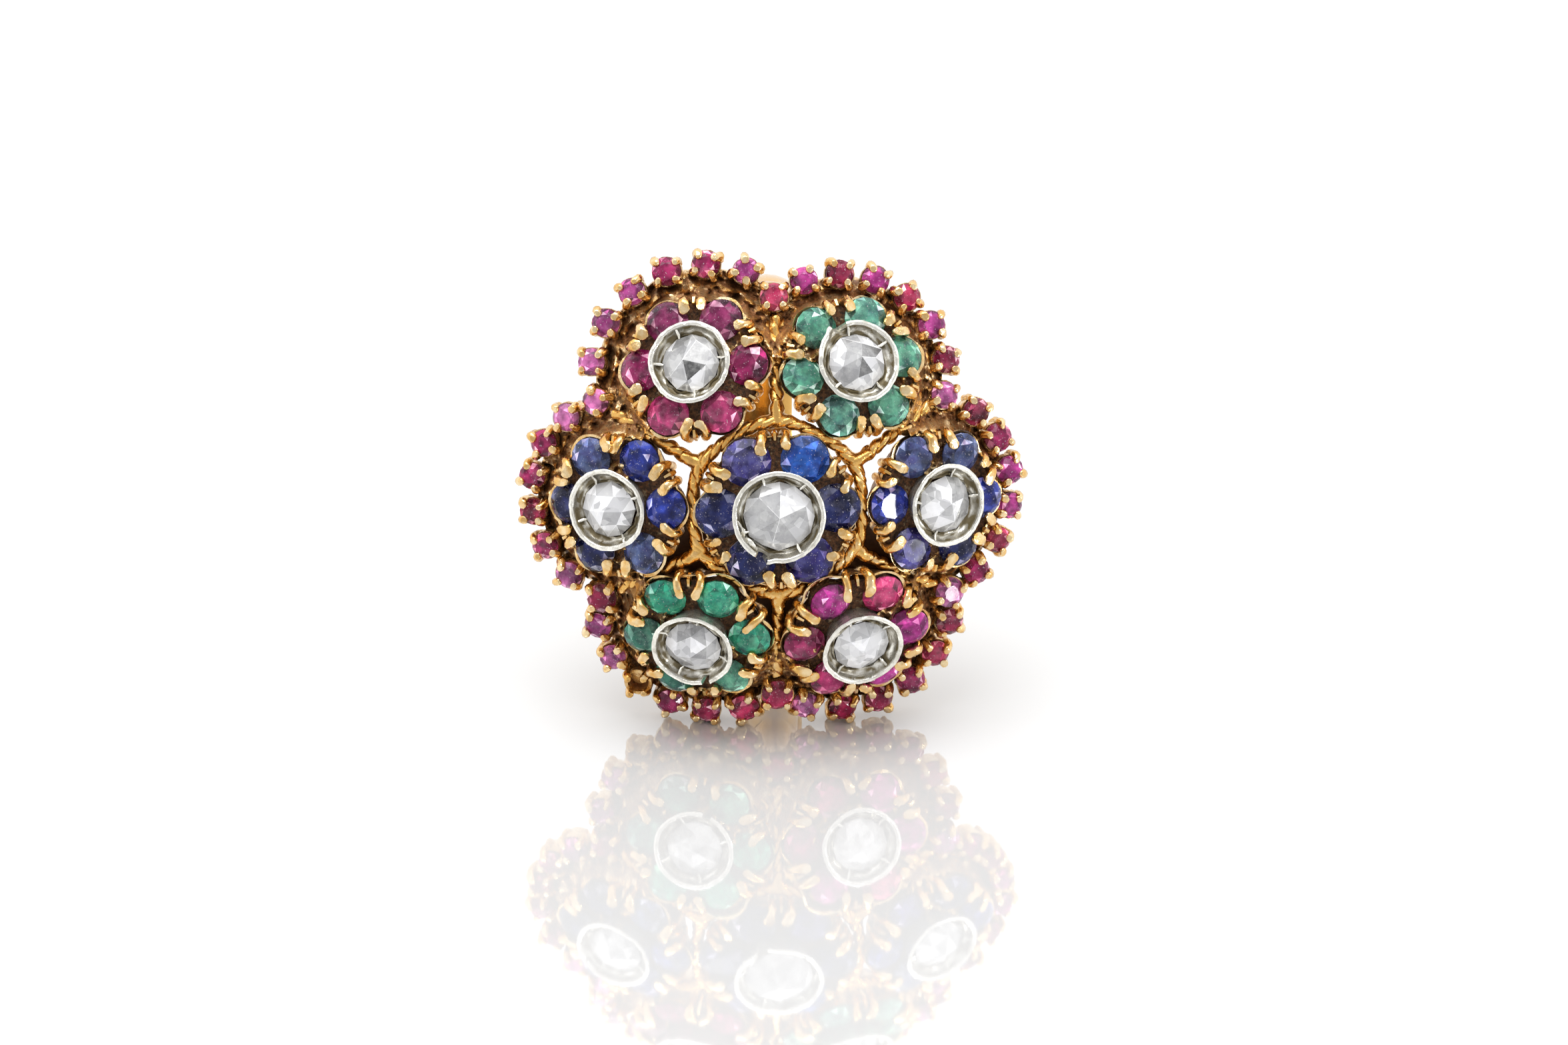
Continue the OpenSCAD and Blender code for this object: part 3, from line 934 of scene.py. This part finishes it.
class RING_OT_base_plate(bpy.types.Operator):
    """Builds the scalloped plate that carries the border, with its hand-worked waves"""
    bl_idname = "ring.base_plate"
    bl_label = "Base plate"

    def execute(self, context):
        inner = 8.5
        part = disc(inner, inner + 1.0, 40, 0.0, 576)
        flowers = into_flowers()
        for v in part.verts:
            azimuth = azimuth_of(v.co)
            share = v.co.xy.length - inner
            r = inner + share * (outline_radius(azimuth) - inner)
            at = polar(r, azimuth, plate_z(r) + 0.10)
            away = min((flower @ at).xy.length - basket_r(i) for i, flower in enumerate(flowers))
            at.z += plate_relief(at, away)
            v.co = at
        thicken(part, 0.5)
        piece = Piece("polish")
        piece.add(part, polish=lambda co: max(0.0, 0.45 + 1.5 * noise.noise(co * 1.3)))
        piece.finish_gold("base_plate", "sheltered_gold", 60)
        return {"FINISHED"}


def border_claw(r, thick, a, seed, rng):
    """One claw of a border setting, at an azimuth of the stone."""
    a += rng.uniform(-6, 6)
    tall = rng.uniform(0.22, 0.34)
    points = [polar(r - 0.05, a, -1.15), polar(r + 0.04, a, -0.55), polar(r + 0.05, a, 0.0),
              polar(r - 0.10, a, tall)]
    full = thick * rng.uniform(0.88, 1.12)
    widths = [full, full * 1.05, full * 1.10, full]
    lean = polar(rng.uniform(-0.2, 0.35), a + rng.uniform(-90, 90))
    return claw(points, widths, polar(1, a + 90), seed, lean, sides=10, top=full * 0.74)


class RING_OT_border_settings(bpy.types.Operator):
    """Builds the small cups of the border and their four claws"""
    bl_idname = "ring.border_settings"
    bl_label = "Border settings"

    def execute(self, context):
        thick = mm(sizes().border_claw) / 2
        cups = Piece("polish")
        claws = Piece("polish")
        rng = random.Random(11)
        for k, (place, diameter, turn, present, tone) in enumerate(settings()):
            r = diameter / 2
            rubbed = 1.0 if present else 0.45
            cup = lathe([(r - 0.30, -0.95), (r - 0.12, -0.18), (r + 0.05, -0.16), (r + 0.08, -0.4),
                         (r - 0.02, -0.9), (r - 0.12, -1.4), (r - 0.3, -1.4), (r - 0.5, -0.95)],
                        20, closed_profile=True)
            cups.add(cup, place, polish=lambda co: (0.25 + max(0.0, (co.z + 0.5) * 0.7)) * rubbed,
                     rough=(0.07, 1.8, k))
            if not present:
                # painted shade: a browned floor closes the empty cup, whose hole lies in shade
                bottom = lathe([(0.0, -0.85), (r - 0.2, -0.85), (r - 0.2, -1.1), (0.0, -1.1)], 20)
                cups.add(bottom, place, polish=0.0)
            for q in range(4):
                part = border_claw(r, thick, turn + 90 * q, k * 4 + q, rng)
                claws.add(part, place, polish=lambda co: held((co.z + 0.05) * 2.6) * rubbed)
        cups.finish_gold("border_cups", "sheltered_gold")
        claws.finish_gold("border_claws", "claw_gold", 42)
        return {"FINISHED"}


def facing_glint(place):
    """The slope of a table that mirrors the side light into the camera, in a stone's own frame."""
    way = place.to_3x3().inverted() @ Vector(GLINT)
    return Vector((-way.x / way.z, -way.y / way.z, 0))


def glint_lean(place):
    """The lean of a whole stone that turns it a part of the way to the side light's mirror."""
    way = place.to_3x3().inverted() @ Vector(GLINT)
    return Quaternion().slerp(UP.rotation_difference(way), 0.6).to_matrix().to_4x4()


def cut_stone(diameter, crown, depth, turn, rng, table, slope):
    """A round cut stone with a table, a crown of three rows of facets and a pavilion."""
    r = diameter / 2
    girdle = 0.02 * diameter
    shift = Vector((rng.uniform(-0.05, 0.05) * r, rng.uniform(-0.05, 0.05) * r, 0))
    size = table * rng.uniform(0.92, 1.10)
    points = []
    for k in range(8):
        a = turn + 45 * k
        jog = rng.uniform(-3, 3)
        corner = polar(size * r, a + jog, girdle + crown) + shift
        corner.z += slope.dot(corner)
        points.append(corner)
        middle = girdle + crown * rng.uniform(0.60, 0.70)
        points.append(polar(0.78 * r, a + 22.5 + jog, middle) + shift * 0.5)
    for k in range(16):
        a = turn + 22.5 * k
        points.append(polar(r, a, girdle))
        points.append(polar(r, a, -girdle))
    for k in range(8):
        points.append(polar(0.45 * r, turn + 45 * k + 22.5, -girdle - depth * 0.62))
    points.append(Vector((0, 0, -girdle - depth)))
    return hull(points)


def set_stone(piece, place, diameter, turn, tone, rng, crown, table, spread, bright):
    """Cuts a coloured stone and sets it a little askew, or, if it is bright, to mirror the side light."""
    lean = glint_lean(place)
    slope = facing_glint(place @ lean) if bright else Vector((0, 0, 0))
    part = cut_stone(diameter, crown, 0.3 * diameter, turn, rng, table, slope)
    paint(part, TONES[tone], spread, rng)
    askew = turned(rng.uniform(-6, 6), "X") @ turned(rng.uniform(-6, 6), "Y")
    piece.add(part, place @ (lean if bright else askew))


class RING_OT_border_stones(bpy.types.Operator):
    """Cuts the rubies of the border, one setting being empty"""
    bl_idname = "ring.border_stones"
    bl_label = "Border stones"

    def execute(self, context):
        rng = random.Random(5)
        piece = Piece("tone")
        for k, (place, diameter, turn, present, tone) in enumerate(settings()):
            if present:
                set_stone(piece, place, diameter, turn, tone, rng, crown=0.32, table=0.56, spread=0.34,
                          bright=k == BRIGHT_SETTING)
        finish = stone_finish("border_ruby_stone", HAZE["border_ruby"])
        piece.finish("border_stones", finish, "border_ruby", ["border_rubies"], flat=True)
        return {"FINISHED"}


class RING_OT_petal_stones(bpy.types.Operator):
    """Cuts the six petal stones of each flower"""
    bl_idname = "ring.petal_stones"
    bl_label = "Petal stones"

    def execute(self, context):
        for i, (name, kind) in enumerate(zip(FLOWER_NAMES, FLOWER_KINDS)):
            ring, turn = FLOWERS[i][2:]
            rng = random.Random(40 + i)
            piece = Piece("tone")
            for k, tone in enumerate(PETAL_TONES[i]):
                place = flower_place(i) @ Matrix.Translation(polar(ring, 60 * k + turn))
                facing = 60 * k + turn + rng.uniform(-20, 20)
                set_stone(piece, place, flower_size(i, "petal"), facing, tone, rng, crown=0.40, table=0.58,
                          spread=0.36, bright=(i, k) == BRIGHT_PETAL)
            piece.finish("petal_stones_" + name, stone_finish(kind + "_stone", HAZE[kind]), kind,
                         ["petals_" + name], flat=True)
        return {"FINISHED"}


def scallop(i, azimuth, extra):
    """Distance of a flower's rim from its axis: round each petal stone, and pulled in between them."""
    ring, turn = FLOWERS[i][2:]
    d = (azimuth - turn + 30) % 60 - 30
    reach = flower_size(i, "petal") / 2 + extra
    along = ring * math.cos(math.radians(d))
    across = ring * math.sin(math.radians(d))
    return max(along + math.sqrt(max(reach * reach - across * across, 0.04)), basket_r(i) + extra - 0.42)


def rim_flare(i, azimuth):
    """How much further out the rim of a lower flower stands where it faces the centre flower."""
    if FLOWER_NAMES[i] not in ("lower_left", "lower_right"):
        return 0.0
    d = (azimuth - FLOWERS[i][0]) % 360 - 180
    return 0.55 * math.exp(-(d / 40) ** 2)


def rubbed_rim(co, i):
    """Polish of a basket's rim: only in places, and everywhere on the wide rims of the lower flowers."""
    flare = rim_flare(i, azimuth_of(co))
    share = 0.7 * noise.noise(co * 0.8 + Vector((i * 3.1, 0, 0))) - 0.05 + flare * 1.2
    return max(0.0, (co.z + 0.40) * 1.2) * held(share)


class RING_OT_baskets(bpy.types.Operator):
    """Builds each flower's basket of sheet gold, whose thin rim follows the stones"""
    bl_idname = "ring.baskets"
    bl_label = "Baskets"

    def execute(self, context):
        rows = 12
        for i, name in enumerate(FLOWER_NAMES):
            part = lathe([(1.0, 1.0 - k / rows) for k in range(rows + 1)], 120)
            for v in part.verts:
                azimuth = azimuth_of(v.co)
                up = v.co.z
                flare = rim_flare(i, azimuth)
                rim = scallop(i, azimuth, -0.04 if i == CENTRE else 0.05) + flare
                height = BASKET_HEIGHT + flare * 0.4
                v.co = polar(basket_reach(i, rim, up), azimuth, -BASKET_DEPTH + up * height)
            thicken(part, -0.11)
            piece = Piece("polish")
            piece.add(part, flower_place(i), polish=lambda co: rubbed_rim(co, i), rough=(0.12, 1.3, i))
            piece.finish_gold("basket_" + name, "sheet_gold", 60)
        return {"FINISHED"}


class RING_OT_flower_beds(bpy.types.Operator):
    """Builds the dark grainy fill under and between the petal stones"""
    bl_idname = "ring.flower_beds"
    bl_label = "Flower beds"

    def execute(self, context):
        piece = Piece("polish")
        for i in range(len(FLOWERS)):
            part = disc(0.9, basket_r(i) - 0.1, 16, 0.0, 96)
            for v in part.verts:
                azimuth = azimuth_of(v.co)
                r = min(v.co.xy.length, scallop(i, azimuth, -0.02))
                lumps = 0.14 * noise.noise(v.co * 2.6 + Vector((i * 5.0, 0, 0)))
                grain = 0.07 * noise.noise(v.co * 6.5)
                v.co = polar(r, azimuth, -0.22 + (lumps + grain))
            thicken(part, 0.4)
            piece.add(part, flower_place(i), polish=0.0)
        piece.finish("flower_beds", bed_finish("dark_fill"), "yellow_gold", ["gold_frame"], 80)
        return {"FINISHED"}


def rubbed_claw(co, tip):
    """Polish of a petal claw: at its tip and on its upper part."""
    return held(max(1.45 - (co - tip).length / 0.48, (co.z + 0.1) * 0.9))


def claw_rib(r, azimuth):
    """The rib between a pair of claws, on a basket of radius r."""
    points = [polar(r - 0.55, azimuth, -0.9), polar(r - 0.20, azimuth, -0.35),
              polar(r - 0.28, azimuth, 0.05), polar(r - 0.60, azimuth, 0.18)]
    return tube(points, [0.14, 0.16, 0.17, 0.13], 6, polar(1, azimuth + 90))


class RING_OT_petal_claws(bpy.types.Operator):
    """Builds the six pairs of claws of each flower and the rib between each pair"""
    bl_idname = "ring.petal_claws"
    bl_label = "Petal claws"

    def execute(self, context):
        thick = mm(sizes().claw) / 2
        piece = Piece("polish")
        rng = random.Random(23)
        for i, flower in enumerate(FLOWERS):
            r = basket_r(i)
            for k in range(6):
                mid = 60 * k + 30 + flower[3]
                flare = rim_flare(i, mid)
                for side in (-1, 1):
                    a = mid + side * 8.6 + rng.uniform(-2, 2)
                    low = mid + side * 7.0
                    tall = rng.uniform(0.46, 0.62)
                    reach = r - rng.uniform(0.68, 0.92)
                    tip = polar(reach, a + rng.uniform(-4, 4), tall)
                    points = [polar(r - 0.60, low, -1.3),
                              polar(r - 0.36 + flare, low, -0.60 + flare * 0.6),
                              polar(r - 0.27 + flare * 0.6, a, flare * 0.3 - 0.05),
                              polar(r - 0.46 + flare * 0.2, a, tall * 0.62),
                              tip]
                    full = thick * rng.uniform(0.86, 1.10)
                    last = full * rng.uniform(1.05, 1.22)
                    widths = [full * 0.85, full * 0.95, full * 0.92, full * 1.02, last]
                    lean = polar(rng.uniform(-0.30, 0.30), a + rng.uniform(-90, 90))
                    seed = 100 + i * 12 + k * 2 + side
                    part = claw(points, widths, polar(1, a + 90), seed, lean, sides=12, top=full * 0.55)
                    piece.add(part, flower_place(i), polish=lambda co: rubbed_claw(co, tip))
                piece.add(claw_rib(r, mid), flower_place(i), polish=0.6)
        piece.finish_gold("petal_claws", "claw_gold", 42)
        return {"FINISHED"}


def collet_profile(waist, rim, rise, seat):
    """Half of a collet's section, from its foot up the outside, over the rim and down to the seat."""
    return [
        (waist - 0.15, -0.9),
        (waist, 0.12),
        (waist + (rim - waist) * 0.35, rise * 0.4),
        (waist + (rim - waist) * 0.7, rise * 0.75),
        (rim - 0.02, rise - 0.14),
        (rim + 0.02, rise - 0.06),
        (rim - 0.04, rise),
        (rim - 0.18, rise + 0.01),
        (rim - 0.25, rise - 0.05),
        (rim - 0.26, rise - 0.25),
        (rim - 0.28, rise - 0.40),
        (rim - 0.32, rise - 0.50),
        (seat + 0.22, rise - 0.60),
        (seat + 0.14, rise - 0.66),
        (seat + 0.07, rise - 0.66),
        (seat + 0.02, rise - 0.58),
        (seat - 0.06, rise - 0.52),
        (seat - 0.10, rise - 0.60),
        (seat - 0.10, rise - 0.9),
        (waist - 0.5, 0.0),
        (waist - 0.5, -0.9),
    ]


def wear_collet(part, i, rim, rise, seat):
    """Makes a collet uneven, and breaks its rim where it is damaged."""
    low = 0.2
    for v in part.verts:
        a = azimuth_of(v.co)
        r = v.co.xy.length
        up = v.co.z
        wobble = noise.noise(polar(1.6, a, i * 3.0)) * 0.05
        if up > rise - 0.3 and r > rim - 0.3:
            up += noise.noise(polar(4.0, a, i * 2.0)) * 0.05
        if abs(r - seat) < 0.13 and up > rise - 0.8:
            r += noise.noise(polar(3.5, a, 9 + i * 2.0)) * 0.16
        for flower, at, half, lost, bend in RIM_DAMAGE:
            d = (a - at + 180) % 360 - 180
            if flower == i and up > low:
                bite = math.exp(-(d / half) ** 4)
                share = max(0.0, (up - low) / (rise - low))
                if r > rim - 0.3:
                    up -= lost * bite * share
                r += bend * share * math.exp(-((d - half * 1.6) / half) ** 2)
        v.co = polar(r + wobble * max(0.0, up), a, up)


def rim_polish(co, rim, rise):
    """Bright on the rim, less so outside, dull inside the collet, with streaks inside that are scratches
    and painted highlight.
    """
    r = co.xy.length
    streaks = noise.noise(Vector((co.x, co.y, 0)).normalized() * 3.0 + Vector((0, 0, r * 6.0)))
    if co.z > rise - 0.12:
        return 0.92 + 0.3 * streaks
    return 0.65 if r > rim - 0.10 - (rise - co.z) * 0.45 else 0.25 + 1.6 * streaks


def torn_edge(seat, rise):
    """The strip of metal that has come away inside a collet."""
    first, last = TORN_SPAN
    spans = len(TORN_EDGE) - 1
    points = [polar(seat + out, first + (last - first) * k / spans, rise - down)
              for k, (out, down, thick) in enumerate(TORN_EDGE)]
    widths = smooth_values([thick for out, down, thick in TORN_EDGE], 4)
    return tube(smooth_path(points, 4), widths, 8, UP, 0.5)


class RING_OT_collets(bpy.types.Operator):
    """Builds the white metal collets, with their damaged rims"""
    bl_idname = "ring.collets"
    bl_label = "Collets"

    def execute(self, context):
        for i, name in enumerate(FLOWER_NAMES):
            rim = flower_size(i, "collet") / 2
            rise = flower_size(i, "collet_rise")
            seat = flower_size(i, "diamond") / 2
            waist = FLOWERS[i][2] - flower_size(i, "petal") / 2 - 0.06
            piece = Piece("polish")
            part = lathe(collet_profile(waist, rim, rise, seat), 120, closed_profile=True)
            wear_collet(part, i, rim, rise, seat)
            piece.add(part, flower_place(i), polish=lambda co: rim_polish(co, rim, rise),
                      rough=(0.03, 4.0, i))
            if i == TORN_FLOWER:
                piece.add(torn_edge(seat, rise), flower_place(i), polish=0.8, rough=(0.16, 3.0, i))
            rng = random.Random(70 + i)
            start = rng.uniform(0, 90)
            for k in range(4):
                a = start + 90 * k + rng.uniform(-18, 18)
                tick = tube([polar(rim - 0.2, a, rise - 0.28), polar(seat + 0.1, a, rise - 0.5),
                             polar(seat - 0.12, a + 2, rise - 0.47)], [0.07, 0.09, 0.05], 6, UP)
                piece.add(tick, flower_place(i), polish=1.0)
            piece.finish("collet_rim_" + name, white_metal_finish("old_white_metal", 0.9), "white_metal",
                         ["collet_" + name], 50)
        return {"FINISHED"}


def rose_cut(i, r, base, tall, rng):
    """A diamond with a flat base, a ring of lower corners and its own points above them."""
    points = []
    for k in range(12):
        a = 30 * k + rng.uniform(-5, 5)
        out = r * rng.uniform(0.94, 1.0)
        points.append(polar(out, a, base + 0.16 * r / ROSE_RADIUS * rng.uniform(0.8, 1.3)))
        points.append(polar(out * 0.97, a, base))
    for a, share, up in ROSE_POINTS[i]:
        points.append(polar(share * r, a, base + tall * up))
    return hull(points)


def shade_rose(part, i, r, rng):
    """Keeps a brightness in each facet: what the light picks out, and any of a few elsewhere."""
    layer = part.loops.layers.float_color.new("tone")
    for f in part.faces:
        value = rng.choice((0.25, 0.42, 0.52, 0.60, 0.70, 0.95))
        centre = f.calc_center_median()
        for a, share, shade in ROSE_SHADES[i]:
            if (centre.xy - polar(share * r, a).xy).length < 0.24 * r:
                value = shade
        for loop in f.loops:
            loop[layer] = (value, value, value * 1.03, 1.0)


class RING_OT_diamonds(bpy.types.Operator):
    """Cuts the seven rose-cut diamonds"""
    bl_idname = "ring.diamonds"
    bl_label = "Diamonds"

    def execute(self, context):
        for i, name in enumerate(FLOWER_NAMES):
            r = flower_size(i, "diamond") / 2
            base = flower_size(i, "collet_rise") - SEAT_DROP + SEAT_GAP
            tall = 1.04 * r / ROSE_RADIUS
            rng = random.Random(90 + i)
            part = rose_cut(i, r, base, tall, rng)
            shade_rose(part, i, r, rng)
            # a few edges, and the centre diamond's upper ridges, are bevelled and coloured near white
            if i == CENTRE:
                apex = max(part.verts, key=lambda v: v.co.z)
                worn = [e for e in part.edges
                        if apex in e.verts and e.other_vert(apex).co.z > base + 0.35 * tall]
            else:
                worn = [e for e in part.edges if rng.random() < 0.15]
            ridges = bmesh.ops.bevel(part, geom=worn, offset=0.014, affect="EDGES", segments=1, profile=0.5,
                                     material=-1)["faces"]
            layer = part.loops.layers.float_color["tone"]
            for f in ridges:
                for loop in f.loops:
                    loop[layer] = grey(0.97)
            piece = Piece("tone")
            piece.add(part, flower_place(i))
            piece.finish("rose_" + name, diamond_finish("rose_diamond"), "diamond", ["diamond_" + name],
                         flat=True)
        return {"FINISHED"}


def rope(points, thick, pitch, closed=False, phase=0.0):
    """Twisted wire: two strands wind round a line."""
    total = 0.0
    reach = [0.0]
    for a, b in zip(points, points[1:] + (points[:1] if closed else [])):
        total += (b - a).length
        reach.append(total)
    turns = round(total / pitch) if closed else total / pitch
    wind = thick * 0.145
    strands = 2
    made = []
    for q in range(strands):
        line = []
        for k, p in enumerate(points):
            side, up = ways_at(points, k, UP, closed)[1:]
            t = 2 * math.pi * (reach[k] / total * turns + q / strands) + phase
            line.append(p + (side * math.cos(t) + up * math.sin(t)) * wind)
        made.append(tube(line, thick * 0.36, 8, UP, 1.0, closed))
    return made


def rope_side_gradient(co):
    """The wires are browner at the upper left and brighter at the lower right."""
    return held(0.60 + 0.045 * (co.x - co.y))


class RING_OT_rope_web(bpy.types.Operator):
    """Builds the twisted wires round the centre flower and out to the notches"""
    bl_idname = "ring.rope_web"
    bl_label = "Rope web"

    def execute(self, context):
        s = sizes()
        thick = mm(s.rope)
        pitch = mm(s.rope_pitch)
        piece = Piece("polish")
        ring = []
        for k in range(24):
            a = 15 * k
            corner = math.cos(math.radians(6 * (a - 30)))
            ring.append(polar(4.84 + 0.10 * corner, a, -0.85 + 0.08 * math.sin(k * 2.1)))
        for part in rope(smooth_path(ring, 12, closed=True), thick, pitch, closed=True):
            piece.add(part, polish=rope_side_gradient, rough=(0.10, 2.0, 31))
        for k, (azimuth, distance) in enumerate(NOTCHES):
            start = polar(5.0, 60 * k + 30, -0.95)
            end = polar(10.3, azimuth, plate_z(10.3) + 0.3)
            middle = (start + end) / 2 + UP * 0.35
            near = start.lerp(middle, 0.5) + UP * 0.1
            path = smooth_path([start, near, middle, middle.lerp(end, 0.5), end], 22)
            for part in rope(path, thick, pitch, phase=k):
                piece.add(part, polish=rope_side_gradient, rough=(0.11, 2.0, 40 + k))
            for way in (polar(1, azimuth), polar(1, 60 * k + 128), polar(1, 60 * k - 68)):
                sleeve = [start + way * step - UP * 0.04 for step in (-0.30, 0.0, 0.40, 0.85, 1.20)]
                widths = smooth_values([0.34, 0.50, 0.44, 0.34, 0.20], 4)
                knot = tube(smooth_path(sleeve, 4), widths, 12, UP)
                piece.add(knot, polish=rope_side_gradient, rough=(0.14, 2.0, k))
        piece.finish_gold("rope_web", "wire_gold", 70)
        return {"FINISHED"}


def under_basket(point, flowers):
    """Whether a point of the head lies inside an outer flower's basket."""
    for i, flower in enumerate(flowers):
        at = flower @ point
        up = held((at.z + BASKET_DEPTH) / (BASKET_HEIGHT + 0.02))
        if at.xy.length < basket_reach(i, basket_r(i), up) - 0.12:
            return True
    return False


class RING_OT_backing(bpy.types.Operator):
    """Builds the sheets behind the three lower openings of the web, brown all over as painted shade seen
    through them
    """
    bl_idname = "ring.backing"
    bl_label = "Backing sheets"

    def execute(self, context):
        piece = Piece("polish")
        flowers = into_flowers()
        span = 36
        for azimuth in (210, 270, 330):
            part = disc(4.4, 9.3, 28, -3.45, 40, span)
            bmesh.ops.transform(part, matrix=turned(azimuth - span / 2, "Z"), verts=part.verts)
            for v in part.verts:
                v.co.z += 0.12 * noise.noise(v.co * 0.7)
            hidden = [v for v in part.verts if under_basket(v.co, flowers)]
            bmesh.ops.delete(part, geom=hidden, context="VERTS")
            thicken(part, 0.4)
            piece.add(part, polish=0.0)
        piece.finish_gold("backing_sheets", "shadowed_gold", 60)
        return {"FINISHED"}


class RING_OT_folds(bpy.types.Operator):
    """Builds the folds that spread from the web's spokes into the border"""
    bl_idname = "ring.folds"
    bl_label = "Folds"

    def execute(self, context):
        piece = Piece("polish")
        widths = smooth_values([0.24, 0.34, 0.38, 0.40, 0.30], 4)
        for k, (azimuth, distance) in enumerate(NOTCHES):
            for side in (-1, 1):
                points = []
                for step in range(5):
                    r = 8.0 + step * 0.65
                    spread = side * (0.8 + 1.5 * step + 0.35 * step ** 2)
                    points.append(polar(r, azimuth + spread, plate_z(r) + 0.55 - 0.08 * step))
                part = tube(smooth_path(points, 4), widths, 10, UP, 0.85)
                piece.add(part, polish=0.3, rough=(0.26, 1.9, 90 + k * 3 + side))
        piece.finish_gold("folds", "folded_gold", 70)
        return {"FINISHED"}


# The stage

def stand(name, data, at, way):
    """Places a light or a camera that looks along a way."""
    made = bpy.data.objects.new(name, data)
    made.location = at
    made.rotation_mode = "QUATERNION"
    made.rotation_quaternion = way.to_track_quat("-Z", "Y")
    bpy.context.scene.collection.objects.link(made)
    return made


def soft_light(name, target, at, size, power):
    """A round light of a size in metres and a power in watts."""
    data = bpy.data.lights.new(name, "AREA")
    data.shape = "DISK"
    data.size = size
    data.energy = power
    stand(name, data, at, target - Vector(at))


def lay_floor():
    floor = bmesh.new()
    bmesh.ops.create_circle(floor, cap_ends=True, segments=64, radius=3.0)
    data = bpy.data.meshes.new("floor")
    floor.to_mesh(data)
    floor.free()
    data.materials.append(floor_finish("pale_floor"))
    made = bpy.data.objects.new("floor", data)
    bpy.context.scene.collection.objects.link(made)


def light_room(back):
    """A white room, darker towards the camera."""
    world = bpy.data.worlds.new("studio")
    bpy.context.scene.world = world
    world.use_nodes = True
    sky = Nodes(world.node_tree)
    way = sky.node("TexCoord", {}, {}, "Generated")
    front = sky.node("VectorMath", {"operation": "DOT_PRODUCT"}, {0: way, 1: back}, "Value")
    shade = sky.mix(sky.step(front, 0.45, 0.90), grey(1.0), (0.55, 0.55, 0.56, 1.0))
    background = world.node_tree.nodes["Background"]
    sky.feed(background.inputs["Color"], shade)
    sky.feed(background.inputs["Strength"], ROOM_LIGHT)


class RING_OT_stage(bpy.types.Operator):
    """Sets the pale floor, the soft light and the camera at the photograph's angle"""
    bl_idname = "ring.stage"
    bl_label = "Stage"

    def execute(self, context):
        centre = head_place().translation
        azimuth = math.radians(CAMERA_AZIMUTH)
        elevation = math.radians(CAMERA_ELEVATION)
        back = Vector((math.sin(azimuth) * math.cos(elevation), -math.cos(azimuth) * math.cos(elevation),
                       math.sin(elevation)))
        right = Vector((math.cos(azimuth), math.sin(azimuth), 0))
        aim = centre + right * CAMERA_RIGHT * MM - back.cross(right) * CAMERA_DOWN * MM
        lay_floor()
        light_room(back)
        soft_light("top", centre, at=(-0.06, -0.06, 0.60), size=0.50, power=2.4)
        soft_light("side", centre, at=(0.60, -0.43, centre.z - 0.015), size=0.10, power=1.4)
        data = bpy.data.cameras.new("camera")
        data.lens = 135.0
        data.sensor_width = 36.0
        data.clip_start = 0.01
        data.clip_end = 20.0
        context.scene.camera = stand("camera", data, aim + back * CAMERA_DISTANCE, -back)
        context.scene.view_settings.view_transform = "Standard"
        return {"FINISHED"}


class RING_PT_panel(bpy.types.Panel):
    """The ring's sizes, colours and pieces"""
    bl_idname = "RING_PT_panel"
    bl_label = "Flower cluster ring"
    bl_space_type = "VIEW_3D"
    bl_region_type = "UI"
    bl_category = "Ring"

    def draw(self, context):
        for group in (context.scene.ring_sizes, context.scene.ring_colours):
            for name in group.__annotations__:
                self.layout.prop(group, name)
        for piece in PIECES:
            self.layout.operator(piece.bl_idname)


PIECES = [
    RING_OT_band,
    RING_OT_base_plate,
    RING_OT_border_settings,
    RING_OT_border_stones,
    RING_OT_folds,
    RING_OT_baskets,
    RING_OT_flower_beds,
    RING_OT_petal_claws,
    RING_OT_petal_stones,
    RING_OT_collets,
    RING_OT_diamonds,
    RING_OT_rope_web,
    RING_OT_backing,
    RING_OT_stage,
]
CLASSES = [RingSizes, RingColours, *PIECES, RING_PT_panel]


def register():
    for kind in CLASSES:
        bpy.utils.register_class(kind)
    bpy.types.Scene.ring_sizes = bpy.props.PointerProperty(type=RingSizes)
    bpy.types.Scene.ring_colours = bpy.props.PointerProperty(type=RingColours)


def unregister():
    del bpy.types.Scene.ring_colours
    del bpy.types.Scene.ring_sizes
    for kind in reversed(CLASSES):
        bpy.utils.unregister_class(kind)


def main():
    register()
    for piece in PIECES:
        getattr(bpy.ops.ring, piece.bl_idname.split(".")[1])()


if __name__ == "__main__":
    main()
